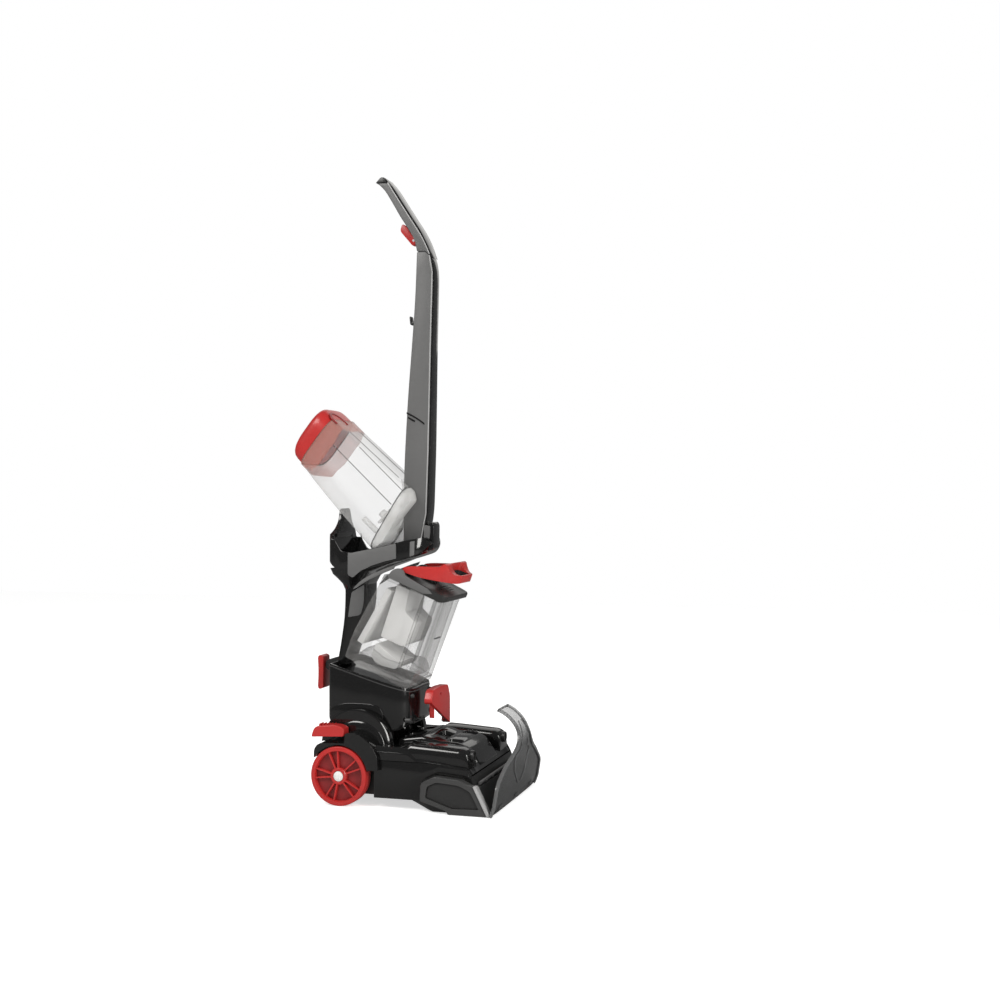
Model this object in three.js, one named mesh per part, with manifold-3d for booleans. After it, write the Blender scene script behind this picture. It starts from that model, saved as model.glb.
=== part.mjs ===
// Upright carpet washer with a removable front nozzle, a clean water tank and a dirty water tank.
// Millimetres. +X is the way the foot points, +Y its left side, +Z up.
// Sub-parts are drawn with the wheel axle at X = 0, then the whole group is centred over its base.

import * as THREE from "three";
import { mergeVertices } from "three/addons/utils/BufferGeometryUtils.js";
import Module from "manifold-3d";

const wasm = await Module();
wasm.setup();

// ---------------------------------------------------------------- driving dimensions

const GAP = 0.3;              // clearance between pieces that touch
const RUNNING = 0.6;          // radial clearance of a turning piece
const BEARING_FIT = 0.1;      // radial clearance of the brush in its bearings
const WALL = 3;               // usual moulded wall

// Foot, whose width follows the nozzle's
const NOZZLE_HALF = 142;
const WHEEL_RADIUS = 51;
const WHEEL_WIDTH = 25;
const WHEEL_OUTER_Y = 130;
const AXLE_RADIUS = 4;
const CHASSIS_REAR_HALF = 98;
const GUARD_THICKNESS = 16;
const CHASSIS_FRONT_HALF = NOZZLE_HALF - GUARD_THICKNESS - 4;
const FOOT_REAR_X = -46;
const FOOT_STEP_X = 62;       // where the body widens in front of the wheels
const FOOT_FRONT_X = 268;
const FOOT_BOTTOM_Z = 17;
const DECK_Z = 62;            // top of the chassis tray
const BRUSH_X = 204;
const BRUSH_Z = 31.5;
const BRUSH_TIP_RADIUS = 30;
const BRUSH_CORE_RADIUS = 16;
const BRUSH_HALF_LENGTH = CHASSIS_FRONT_HALF - 22;
const TUFT_ROWS = 4;
const TUFTS_PER_ROW = 9;
const BAY_RADIUS = 33.5;
const MOTOR_X = 130;
const MOTOR_Z = 36;
const MOTOR_RADIUS = 15;
const PULLEY_Y = CHASSIS_FRONT_HALF - 8;
const BELT_WIDTH = 5;
const BRUSH_PULLEY_RADIUS = 14;
const MOTOR_PULLEY_RADIUS = 7;
const BELT_THICKNESS = 2;

// Recline pivot
const PIVOT_X = 15;
const PIVOT_Z = 95;
const PIVOT_PIN_RADIUS = 7;
const TRUNNION_RADIUS = 42;
const TRUNNION_INNER_Y = 76;
const TRUNNION_OUTER_Y = 92;

// Upright
const HOUSING_HALF = 75;
const HOUSING_REAR_X = -44;
const HOUSING_FRONT_X = 105;
const HOUSING_BOTTOM_Z = 122;
const CHEEK_RADIUS = 38;      // side arms of the housing round the pivot
const CHEEK_INNER_Y = 60;
const EAR_INNER_Y = 46;       // pivot ears of the foot, just inside the housing's arms
const SPINE_HALF = 30;
const SHELF_HALF = 65;
const MAST_HALF = 20.5;
const GRIP_HALF = 18;
const FAN_RADIUS = 38;
const SUCTION_MOTOR_RADIUS = 42;

// Dirty water tank, drawn upright with its front bottom edge at the origin
const DIRTY_EDGE = [101, 192];
const DIRTY_TILT = 20;        // degrees forward of upright
const DIRTY_SEAT_TILT = 17;   // degrees forward when it sits on the tray
const DIRTY_HALF = 62;
const DIRTY_DEPTH = 131;
const DIRTY_TOP_DEPTH = 109;
const DIRTY_HEIGHT = 165;
const TANK_WALL = 2.4;
const LID_OVERHANG = 10;
const FLOAT_RADIUS = 9;

// Clean water tank, drawn upright with its rear bottom edge at the origin
const CLEAN_EDGE = [41, 440.5];
const CLEAN_TILT = 46.5;      // degrees rearward of upright
const CLEAN_HALF = 62;
const CLEAN_DEPTH = 111;
const CLEAN_TOP_DEPTH = 103;
const CLEAN_REAR_LOW = -10;   // its rear wall leans in by this much at the bottom
const CLEAN_REAR_TOP = 4;
const CLEAN_LENGTH = 228;
const CAP_HEIGHT = 35;

// Removable nozzle, drawn as it stands tipped forward off the foot
const NOZZLE_EDGE = [276.5, 0.6];
const NOZZLE_TILT = 38;       // degrees forward of its clipped place
const NOZZLE_WALL = 2.6;
const NECK_HALF = 30;
const LIP_RADIUS = 6;         // of the rounded bead that the nozzle rocks on

// ---------------------------------------------------------------- finishes

const finish = (color, roughness, metalness = 0, opacity = 1) => new THREE.MeshStandardMaterial({
  color, roughness, metalness, opacity, transparent: opacity < 1,
});
const BLACK = finish(0x0d0d0f, 0.22);
const SATIN = finish(0x2b2c2e, 0.55);
const GRAY = finish(0x6e6f70, 0.5);
const RED = finish(0xc4282c, 0.38);
const WHITE = finish(0xe8e8e6, 0.5);
const CLEAR = finish(0xdfe3e4, 0.08, 0, 0.35);
const SMOKE = finish(0x77797c, 0.1, 0, 0.5);
const STEEL = finish(0xa9abad, 0.35, 0.9);
const RUBBER = finish(0x1b1b1b, 0.85);

// ---------------------------------------------------------------- building blocks

const rad = THREE.MathUtils.degToRad;

// Closed outline. A corner may carry a radius as its third value.
function outline(points) {
  const shape = new THREE.Shape();
  points.forEach(([x, y, radius = 0], i) => {
    const before = points[(i + points.length - 1) % points.length];
    const after = points[(i + 1) % points.length];
    const towards = (other) => {
      const length = Math.hypot(other[0] - x, other[1] - y);
      const step = Math.min(radius, length * 0.49) / length;
      return [x + (other[0] - x) * step, y + (other[1] - y) * step];
    };
    const start = radius ? towards(before) : [x, y];
    if (i === 0) shape.moveTo(...start);
    else shape.lineTo(...start);
    if (radius) shape.quadraticCurveTo(x, y, ...towards(after));
  });
  shape.closePath();
  return shape;
}

const extrude = (points, depth) => new THREE.ExtrudeGeometry(outline(points), {
  depth, bevelEnabled: false, curveSegments: 3,
});

// Side outline in X and Z, drawn out along Y.
const plate = (points, yLow, yHigh) => extrude(points, yHigh - yLow)
  .rotateX(Math.PI / 2).translate(0, yHigh, 0);

// Front outline in Y and Z, drawn out along X.
const slab = (points, xLow, xHigh) => extrude(points, xHigh - xLow)
  .rotateX(Math.PI / 2).rotateZ(Math.PI / 2).translate(xLow, 0, 0);

// Plan outline in X and Y, drawn out along Z.
const prism = (points, zLow, zHigh) => extrude(points, zHigh - zLow)
  .translate(0, 0, zLow);

const box = (xLow, xHigh, yLow, yHigh, zLow, zHigh) => new THREE.BoxGeometry(
  xHigh - xLow, yHigh - yLow, zHigh - zLow,
).translate((xLow + xHigh) / 2, (yLow + yHigh) / 2, (zLow + zHigh) / 2);

const rodY = (x, z, radius, yLow, yHigh, sides = 32) => new THREE.CylinderGeometry(
  radius, radius, yHigh - yLow, sides,
).translate(x, (yLow + yHigh) / 2, z);

const rodZ = (x, y, radius, zLow, zHigh, sides = 24) => new THREE.CylinderGeometry(
  radius, radius, zHigh - zLow, sides,
).rotateX(Math.PI / 2).translate(x, y, (zLow + zHigh) / 2);

const rodX = (y, z, radius, xLow, xHigh, sides = 24) => new THREE.CylinderGeometry(
  radius, radius, xHigh - xLow, sides,
).rotateZ(Math.PI / 2).translate((xLow + xHigh) / 2, y, z);

const rectangle = (aLow, aHigh, bLow, bHigh, radius = 0) => [
  [aLow, bLow, radius], [aHigh, bLow, radius], [aHigh, bHigh, radius], [aLow, bHigh, radius],
];

function solid(source) {
  if (!(source instanceof THREE.BufferGeometry)) return source;
  const bare = source.clone();
  bare.deleteAttribute("normal");
  bare.deleteAttribute("uv");
  const merged = mergeVertices(bare, 1e-3);
  const corners = [...merged.index.array];
  const triangles = [];
  for (let i = 0; i < corners.length; i += 3) {
    const [a, b, c] = corners.slice(i, i + 3);
    if (a !== b && b !== c && c !== a) triangles.push(a, b, c);
  }
  return new wasm.Manifold(new wasm.Mesh({
    numProp: 3,
    vertProperties: new Float32Array(merged.attributes.position.array),
    triVerts: new Uint32Array(triangles),
  }));
}

function geometry(body) {
  if (body instanceof THREE.BufferGeometry) return body;
  const { vertProperties, triVerts } = body.getMesh();
  const result = new THREE.BufferGeometry();
  result.setAttribute("position", new THREE.BufferAttribute(vertProperties, 3));
  result.setIndex(new THREE.BufferAttribute(triVerts, 1));
  result.computeVertexNormals();
  return result;
}

const join = (...pieces) => pieces.map(solid).reduce((sum, piece) => sum.add(piece));
const cut = (first, ...rest) => rest.map(solid).reduce((sum, piece) => sum.subtract(piece), solid(first));
const common = (...pieces) => pieces.map(solid).reduce((sum, piece) => sum.intersect(piece));

// The same piece on the other side: turning each triangle round keeps its faces pointing out.
function mirrorY(body) {
  const mirrored = geometry(solid(body)).clone().scale(1, -1, 1);
  mirrored.index.array.reverse();
  mirrored.computeVertexNormals();
  return mirrored;
}

function piece(name, body, material) {
  const mesh = new THREE.Mesh(geometry(body), material);
  mesh.name = name;
  return mesh;
}

// A piece of the right side and its mirror image on the left.
const pair = (stem, body, material) => [
  piece(`${stem}_right`, body, material),
  piece(`${stem}_left`, mirrorY(body), material),
];

// ---------------------------------------------------------------- foot

// Side outline of the cover's deck, from its rear step to its front edge, lowered by an inset.
const deckLine = (inset) => [
  [FOOT_STEP_X + inset, DECK_Z], [FOOT_STEP_X + inset, 104 - inset, 5], [122, 103 - inset, 8],
  [137, 90 - inset, 8], [190, 84 - inset, 14], [226, 77 - inset, 8], [236 - inset, DECK_Z],
];

// Side outline of the fender over a wheel.
const fenderLine = (inset) => [
  [-45 + inset, DECK_Z], [-44 + inset, 96 - inset, 10], [-33 + inset, 116 - inset, 10],
  [13, 124 - inset, 14], [40, 110 - inset, 14], [70 - inset, 84 - inset, 6], [72 - inset, DECK_Z],
];

// Side outline of the raised middle that carries the suction path back to the upright.
const ridgeLine = (inset) => [
  [84 + inset, DECK_Z], [84 + inset, 110 - inset, 6], [128, 116 - inset, 8],
  [158, 108 - inset, 10], [194, 106.5 - inset, 10], [210 - inset * 0.6, 99 - inset, 6],
  [221 - inset, 87 - inset, 6], [232 - inset, DECK_Z],
];

// Side outline of the shoulders that stand each side of the nozzle's neck.
const SHOULDER_INNER_Y = 72;
const shoulderLine = (inset) => [
  [110 + inset, DECK_Z], [110 + inset, 100 - inset, 4], [126, 112 - inset, 8],
  [224, 106 - inset, 6], [230 - inset, 98 - inset, 4], [228 - inset, 80, 4], [226 - inset, DECK_Z],
];

const coverForm = (inset) => join(
  plate(deckLine(inset), -CHASSIS_FRONT_HALF + inset, CHASSIS_FRONT_HALF - inset),
  plate(ridgeLine(inset), -62 + inset, 62 - inset),
  ...[-1, 1].map((side) => plate(
    shoulderLine(inset),
    ...[side * (SHOULDER_INNER_Y + inset), side * (CHASSIS_FRONT_HALF - 4 - inset)].sort((p, q) => p - q),
  )),
  plate(fenderLine(inset), TRUNNION_OUTER_Y + 3 + inset, CHASSIS_FRONT_HALF + 8 - inset),
  plate(fenderLine(inset), -CHASSIS_FRONT_HALF - 8 + inset, -TRUNNION_OUTER_Y - 3 - inset),
);

const wheelWell = rodY(0, WHEEL_RADIUS, WHEEL_RADIUS + 3, -200, 200, 32);
const bayLength = BRUSH_HALF_LENGTH + 6;

function footCover() {
  const shell = cut(coverForm(0), coverForm(WALL));
  const wells = join(
    common(wheelWell, box(-60, 60, CHASSIS_REAR_HALF + 3, 200, 0, 200)),
    common(wheelWell, box(-60, 60, -200, -CHASSIS_REAR_HALF - 3, 0, 200)),
  );
  const pedalPockets = join(
    box(-70, 10, CHASSIS_REAR_HALF + 2, 140, 108, 160),
    box(-70, 10, -140, -CHASSIS_REAR_HALF - 2, 108, 160),
  );
  return cut(
    shell,
    wells,
    pedalPockets,
    rodY(PIVOT_X, PIVOT_Z, TRUNNION_RADIUS + 1, -TRUNNION_OUTER_Y - 1, TRUNNION_OUTER_Y + 1, 28),
  );
}

const SPRAY_BAR = [244.6, 48.4];
const SPRAY_RADIUS = 3;
const chassisLine = [
  [FOOT_REAR_X, 34, 6], [-30, FOOT_BOTTOM_Z, 6], [131, FOOT_BOTTOM_Z], [141, 12.5], [160, 3],
  [168, 0], [FOOT_FRONT_X, 0], [FOOT_FRONT_X - 1.5, 10], [254, 34], [249, 44],
  [240.5, SPRAY_BAR[1] - SPRAY_RADIUS - GAP], [238.5, 55], [236, DECK_Z - GAP], [FOOT_STEP_X, DECK_Z - GAP], [FOOT_REAR_X, 50],
];
const BAY_ROOF = [[166, 50], [174, 67], [225, 67], [232, 58]];

function footChassis() {
  const trayWall = 4;
  const body = join(
    plate(chassisLine, -CHASSIS_REAR_HALF, CHASSIS_REAR_HALF),
    common(
      plate(chassisLine, -CHASSIS_FRONT_HALF + 1, CHASSIS_FRONT_HALF - 1),
      box(FOOT_STEP_X, 300, -200, 200, -1, 200),
    ),
    plate(BAY_ROOF, -bayLength - 4, bayLength + 4),
  );
  const rearTray = box(
    -38, 160, -CHASSIS_REAR_HALF + trayWall, CHASSIS_REAR_HALF - trayWall, FOOT_BOTTOM_Z + 4, 200,
  );
  const pulleyRoom = box(
    MOTOR_X - 12, BRUSH_X + 18, PULLEY_Y - 4, PULLEY_Y + 4, 8, 200,
  );
  const bay = join(
    rodY(BRUSH_X, BRUSH_Z, BAY_RADIUS, -bayLength, bayLength, 32),
    box(BRUSH_X - BAY_RADIUS, BRUSH_X + BAY_RADIUS, -bayLength, bayLength, -1, BRUSH_Z),
  );
  const ears = [-1, 1].map((side) => {
    const faces = [side * EAR_INNER_Y, side * (CHEEK_INNER_Y - RUNNING)].sort((a, b) => a - b);
    return join(
      rodY(PIVOT_X, PIVOT_Z, 15, ...faces, 24),
      plate([[-14, FOOT_BOTTOM_Z + 2], [1, PIVOT_Z], [29, PIVOT_Z], [44, FOOT_BOTTOM_Z + 2]], ...faces),
    );
  });
  return cut(
    join(cut(body, rearTray, pulleyRoom, bay), ...ears),
    rodY(0, WHEEL_RADIUS, AXLE_RADIUS + 0.05, -200, 200, 24),
    rodY(BRUSH_X, BRUSH_Z, 6 + GAP, 0, CHASSIS_FRONT_HALF - 4, 24),
    rodY(MOTOR_X, MOTOR_Z, 3 + RUNNING, 60, CHASSIS_FRONT_HALF - 4, 12),
    rodY(PIVOT_X, PIVOT_Z, PIVOT_PIN_RADIUS + 0.05, -200, 200, 24),
  );
}

const guardLine = [
  [150, 20, 3], [152, 50, 3], [176, 62, 4], [222, 58, 4], [246, 46.5, 3], [272, 2, 2], [266, 0],
  [200, 0], [196, 6, 3],
];

function brushGuard() {
  const outer = -CHASSIS_FRONT_HALF - GUARD_THICKNESS;
  const body = plate(guardLine, outer, -CHASSIS_FRONT_HALF - GAP);
  const panel = plate([
    [160, 26, 3], [163, 46, 3], [178, 54, 4], [220, 50, 4], [240, 41, 3], [256, 12, 2], [206, 10, 3],
  ], outer - 1, outer + 2);
  return cut(body, panel);
}

// Strip that closes the front of the foot, behind the nozzle's lower edge.
const frontStrip = slab(
  rectangle(-CHASSIS_FRONT_HALF + 2, CHASSIS_FRONT_HALF - 2, 4.2, 7.4),
  FOOT_FRONT_X + GAP, NOZZLE_EDGE[0] - 5.3,
);

const brushBearing = cut(
  box(BRUSH_X - 16, BRUSH_X + 16, -bayLength + GAP, -BRUSH_HALF_LENGTH - 0.4, 2, BRUSH_Z + 22),
  rodY(BRUSH_X, BRUSH_Z, 5 + BEARING_FIT, -200, 200, 24),
);

function brushMotor() {
  return join(
    rodY(MOTOR_X, MOTOR_Z, MOTOR_RADIUS, 10, CHASSIS_REAR_HALF - 5, 20),
    box(MOTOR_X - 12, MOTOR_X + 12, 20, 80, FOOT_BOTTOM_Z + 4 + GAP, MOTOR_Z),
  );
}

const beltLoop = (grow) => {
  const [small, large] = [MOTOR_PULLEY_RADIUS + grow, BRUSH_PULLEY_RADIUS + grow];
  const faces = [PULLEY_Y - BELT_WIDTH / 2, PULLEY_Y + BELT_WIDTH / 2];
  return join(
    rodY(MOTOR_X, MOTOR_Z, small, ...faces, 24),
    rodY(BRUSH_X, BRUSH_Z, large, ...faces, 28),
    plate([
      [MOTOR_X, MOTOR_Z - small], [BRUSH_X, BRUSH_Z - large],
      [BRUSH_X, BRUSH_Z + large], [MOTOR_X, MOTOR_Z + small],
    ], ...faces),
  );
};
const driveBelt = cut(beltLoop(GAP + BELT_THICKNESS), beltLoop(GAP));

const beltCover = box(
  MOTOR_X - 12 + GAP, BRUSH_X + 18 - GAP, PULLEY_Y - 4 + GAP, PULLEY_Y + 4 - GAP, 48.4, 50.2,
);

const motorPulley = join(
  rodY(MOTOR_X, MOTOR_Z, MOTOR_PULLEY_RADIUS, PULLEY_Y - 3, PULLEY_Y + 3, 20),
  rodY(MOTOR_X, MOTOR_Z, 3, CHASSIS_REAR_HALF - 5 + GAP, PULLEY_Y, 12),
);

const suctionDuct = cut(
  box(176, 208, -24, 24, 67.3, 79),
  box(175, 209, -21, 21, 69.8, 76.5),
);

// Pipe that feeds solution to the brush, with its spray tips.
function sprayBar() {
  const tips = [-0.72, -0.36, 0, 0.36, 0.72].map((share) => share * BRUSH_HALF_LENGTH).map((y) => box(
    SPRAY_BAR[0] + 1.4, SPRAY_BAR[0] + 4.2, y - 3, y + 3, SPRAY_BAR[1] - 2.4, SPRAY_BAR[1] + 0.6,
  ));
  return join(
    rodY(...SPRAY_BAR, SPRAY_RADIUS, -BRUSH_HALF_LENGTH, BRUSH_HALF_LENGTH, 12), ...tips,
  );
}

const pivotPin = rodY(
  PIVOT_X, PIVOT_Z, PIVOT_PIN_RADIUS, -TRUNNION_OUTER_Y + 2, -EAR_INNER_Y, 24,
);

// ---------------------------------------------------------------- wheels and brush

function wheel() {
  const inner = -WHEEL_OUTER_Y + WHEEL_WIDTH;
  const at = (radius, yLow, yHigh, sides) => rodY(0, WHEEL_RADIUS, radius, yLow, yHigh, sides);
  const spokes = [...Array(5)].flatMap((_, i) => [-5, 5].map((offset) => box(
    offset - 1.8, offset + 1.8, -WHEEL_OUTER_Y + 1.5, -WHEEL_OUTER_Y + 7, 12, WHEEL_RADIUS - 7,
  ).rotateY((i * 2 * Math.PI) / 5 + 0.3).translate(0, 0, WHEEL_RADIUS)));
  const body = join(
    cut(at(WHEEL_RADIUS, -WHEEL_OUTER_Y, inner, 36), at(WHEEL_RADIUS - 8, -200, 0, 24)),
    at(WHEEL_RADIUS - 6, -WHEEL_OUTER_Y + 7, -WHEEL_OUTER_Y + 11, 24),
    at(13, -WHEEL_OUTER_Y, inner, 24),
    ...spokes,
  );
  return cut(
    body,
    at(AXLE_RADIUS + RUNNING, -200, 0, 24),
    at(8, -WHEEL_OUTER_Y - 1, -WHEEL_OUTER_Y + 3, 24),
  );
}

const hubCap = join(
  rodY(0, WHEEL_RADIUS, 8 - GAP, -WHEEL_OUTER_Y - 0.6, -WHEEL_OUTER_Y + 2.7, 20),
  rodY(0, WHEEL_RADIUS, 5, -WHEEL_OUTER_Y - 1.2, -WHEEL_OUTER_Y + 1, 24),
);

const rearAxle = rodY(
  0, WHEEL_RADIUS, AXLE_RADIUS, -WHEEL_OUTER_Y + 4, WHEEL_OUTER_Y - 4, 24,
);

// Core with tufts set in rows that meet in a chevron at its middle.
function brushRoll() {
  const half = BRUSH_HALF_LENGTH;
  const core = join(
    rodY(BRUSH_X, BRUSH_Z, BRUSH_CORE_RADIUS, -half, half, 20),
    rodY(BRUSH_X, BRUSH_Z, 5, -bayLength + 1, PULLEY_Y - 3 - GAP, 24),
  );
  const tufts = [];
  const middle = (TUFTS_PER_ROW - 1) / 2;
  for (let row = 0; row < TUFT_ROWS; row += 1) {
    for (let i = 0; i < TUFTS_PER_ROW; i += 1) {
      const y = ((i - middle) / middle) * (half - 7);
      const turn = (row / TUFT_ROWS) * 2 * Math.PI + (Math.abs(i - middle) / middle) * 1.2;
      tufts.push(box(-2.4, 2.4, y - 3, y + 3, BRUSH_CORE_RADIUS - 2, BRUSH_TIP_RADIUS)
        .rotateY(turn).translate(BRUSH_X, 0, BRUSH_Z));
    }
  }
  return join(core, ...tufts);
}

const brushPulley = rodY(
  BRUSH_X, BRUSH_Z, BRUSH_PULLEY_RADIUS, PULLEY_Y - 3, PULLEY_Y + 3, 36,
);

// ---------------------------------------------------------------- foot controls

const PEDAL_FRONT_X = 9.6;
const pedal = join(
  plate([
    [-51, 116, 3], [-34, 117, 4], [PEDAL_FRONT_X, 119], [PEDAL_FRONT_X, 131, 4], [-6, 138, 6],
    [-46, 133, 6],
  ], -WHEEL_OUTER_Y + 1, -CHASSIS_REAR_HALF - 4),
);

const LATCH_PIVOT = [131, 121];
const LATCH_HALF = 52;
function latch() {
  const front = slab([
    [-LATCH_HALF + 10, 119], [-16, 119, 3], [-11, 127, 4], [11, 127, 4], [16, 119, 3],
    [LATCH_HALF - 10, 119], [LATCH_HALF, 132, 5], [LATCH_HALF - 2, 176, 10],
    [LATCH_HALF - 20, 194, 10], [-LATCH_HALF + 20, 194, 10], [-LATCH_HALF + 2, 176, 10],
    [-LATCH_HALF, 132, 5],
  ], LATCH_PIVOT[0] - 4, LATCH_PIVOT[0] + 5);
  const hook = plate([[135, 186], [144, 183, 2], [143, 176, 2], [135, 178]], -24, 24);
  const barrel = rodY(...LATCH_PIVOT, 5, -LATCH_HALF + 10, LATCH_HALF - 10, 16);
  return join(front, hook, barrel);
}

// Removable nozzle as it is clipped on the foot: a curved cover with a rim round its edge.
function frontNozzle() {
  const [edgeX, edgeZ] = NOZZLE_EDGE;
  const arch = (drop) => [
    [160.5, 116 - drop], [178, 119 - drop, 14], [198 - drop * 0.2, 116.5 - drop, 12],
    [213.5 - drop * 0.5, 109.5 - drop * 0.8, 8], [225.5 - drop * 0.8, 99.5 - drop * 0.5, 8],
    [234 - drop, 85 - drop * 0.3, 6], [240 - drop, 70], [249.6 - drop, 53.5],
    [256.5 - drop * 1.1, 45], [271.5 - drop, 17.5, 12], [edgeX - drop, edgeZ],
  ];
  const sheet = (top, bottom) => plate(
    [...arch(top), ...arch(bottom).reverse()], -NOZZLE_HALF, NOZZLE_HALF,
  );
  const plan = (inset) => {
    const side = [
      [edgeX + 2, NOZZLE_HALF - inset], [256 + inset, NOZZLE_HALF - inset, 6],
      [249.6 + inset * 0.9, NOZZLE_HALF - 14 - inset * 0.5],
      [239.5 + inset * 0.9, NOZZLE_HALF - 46 - inset * 0.5, 8],
      [234 + inset * 0.7, 58 - inset * 0.5, 8], [225 + inset * 0.4, 38 - inset * 0.8, 8],
      [213, NECK_HALF - inset], [160 + inset * 0.2, NECK_HALF - inset],
    ];
    return prism([...side, ...side.map(([x, y, r]) => [x, -y, r]).reverse()], -5, 150);
  };
  const cover = common(sheet(0, NOZZLE_WALL), plan(0));
  const rim = common(sheet(0, 5), cut(plan(0), plan(3.4)));
  const lip = common(
    rodY(edgeX, edgeZ, LIP_RADIUS, -CHASSIS_FRONT_HALF + 1, CHASSIS_FRONT_HALF - 1, 32),
    box(edgeX - LIP_RADIUS - 1, edgeX - 0.6, -NOZZLE_HALF, NOZZLE_HALF, edgeZ, edgeZ + LIP_RADIUS + 1),
  );
  return join(cover, rim, lip);
}

// ---------------------------------------------------------------- upright

// Height of the slope that the dirty tank sits on.
const trayZ = (x) => DIRTY_EDGE[1] - GAP + (DIRTY_EDGE[0] - x) * Math.tan(rad(DIRTY_SEAT_TILT));
const SPINE_FOOT_X = -29;

function motorHousing() {
  const rear = HOUSING_REAR_X;
  const shape = (inset) => [
    [rear + inset, HOUSING_BOTTOM_Z - (inset ? 1 : 0)],
    [HOUSING_FRONT_X - inset, HOUSING_BOTTOM_Z - (inset ? 1 : 0)],
    [HOUSING_FRONT_X - inset, trayZ(HOUSING_FRONT_X) - inset],
    [SPINE_FOOT_X, trayZ(SPINE_FOOT_X) - inset * 1.05],
    [rear + inset, trayZ(SPINE_FOOT_X) - inset * 1.05],
  ];
  const plan = (inset) => prism(rectangle(
    rear + inset, HOUSING_FRONT_X - inset, -HOUSING_HALF + inset, HOUSING_HALF - inset, 14,
  ), 0, 300);
  const shell = cut(
    common(plate(shape(0), -HOUSING_HALF, HOUSING_HALF), plan(0)),
    common(plate(shape(WALL), -HOUSING_HALF, HOUSING_HALF), plan(WALL)),
  );
  const cheeks = [-1, 1].map((side) => {
    const faces = [side * CHEEK_INNER_Y, side * HOUSING_HALF].sort((p, q) => p - q);
    return join(
      rodY(PIVOT_X, PIVOT_Z, CHEEK_RADIUS, ...faces, 32),
      plate([[-22, PIVOT_Z], [52, PIVOT_Z], [60, HOUSING_BOTTOM_Z + 12], [-34, HOUSING_BOTTOM_Z + 12]],
        ...faces),
    );
  });
  return cut(
    join(shell, ...cheeks),
    rodY(PIVOT_X, PIVOT_Z, PIVOT_PIN_RADIUS + RUNNING, -200, 200, 24),
    rodX(-SCREW_Y, SCREW_Z, 2 + GAP, HOUSING_FRONT_X - 10, HOUSING_FRONT_X + 1, 12),
    rodX(SCREW_Y, SCREW_Z, 2 + GAP, HOUSING_FRONT_X - 10, HOUSING_FRONT_X + 1, 12),
  );
}

const trunnion = cut(
  rodY(PIVOT_X, PIVOT_Z, TRUNNION_RADIUS, -TRUNNION_OUTER_Y, -TRUNNION_INNER_Y, 32),
  rodY(PIVOT_X, PIVOT_Z, PIVOT_PIN_RADIUS + RUNNING, -TRUNNION_OUTER_Y + 2, 0, 24),
);

const rearCover = slab(
  rectangle(-58, 58, HOUSING_BOTTOM_Z + 8, trayZ(SPINE_FOOT_X) - 12, 12),
  HOUSING_REAR_X - 4, HOUSING_REAR_X - GAP,
);

// Suction motor standing in the housing, with its turbine on top.
const SUCTION_X = 30;
const suctionMotor = cut(
  join(
    rodZ(SUCTION_X, 0, SUCTION_MOTOR_RADIUS, HOUSING_BOTTOM_Z + 4, HOUSING_BOTTOM_Z + 38, 28),
    box(-40.4, -5, -14, 14, HOUSING_BOTTOM_Z + 8, HOUSING_BOTTOM_Z + 20),
  ),
  rodZ(SUCTION_X, 0, FAN_RADIUS + 1, HOUSING_BOTTOM_Z + 22, HOUSING_BOTTOM_Z + 60, 28),
  rodZ(SUCTION_X, 0, 4 + RUNNING, HOUSING_BOTTOM_Z + 10, HOUSING_BOTTOM_Z + 60, 14),
);

function suctionFan() {
  const base = HOUSING_BOTTOM_Z + 24;
  const blades = [...Array(8)].map((_, i) => box(7, FAN_RADIUS - 1, -1, 1, base, base + 10)
    .rotateZ((i * Math.PI) / 4).translate(SUCTION_X, 0, 0));
  return join(
    rodZ(SUCTION_X, 0, FAN_RADIUS, base, base + 2, 24),
    rodZ(SUCTION_X, 0, 9, base, base + 12, 24),
    rodZ(SUCTION_X, 0, 4, HOUSING_BOTTOM_Z + 11, base + 1, 14),
    ...blades,
  );
}

const waterPump = join(
  box(78, HOUSING_FRONT_X - WALL - GAP, -30, 30, HOUSING_BOTTOM_Z + 8, HOUSING_BOTTOM_Z + 34),
  rodY(88, HOUSING_BOTTOM_Z + 22, 9, -44, 30, 24),
);

// Spine that rises behind the dirty tank to the shelf.
const spineLine = [
  [HOUSING_REAR_X, trayZ(SPINE_FOOT_X) + GAP], [-39, 262, 20], [-31, 312, 20], [-29, 360, 20],
  [-32, 402.4], [10, 402.4], [9, 340, 20], [3, 312, 20], [-16, 270, 20],
  [SPINE_FOOT_X, trayZ(SPINE_FOOT_X) + GAP],
];
const spine = cut(
  plate(spineLine, -SPINE_HALF, SPINE_HALF),
  plate([[-30, 318, 4], [-28, 360, 4], [-30, 398, 4], [4, 398, 4], [3, 340, 4], [-2, 318, 4]], -16, 16),
  box(-60, -20, -15, 15, 330, 390),
);

const airDuct = plate([
  [-26, 322, 3], [-25, 360, 3], [-26, 396, 3], [0, 396, 3], [-1, 340, 3], [-6, 322, 3],
], -15.6, 15.6);

const shelfTop = [[-2, 430.5], [24, 436], [59, 443], [93, 452], [124, 458]];

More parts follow.
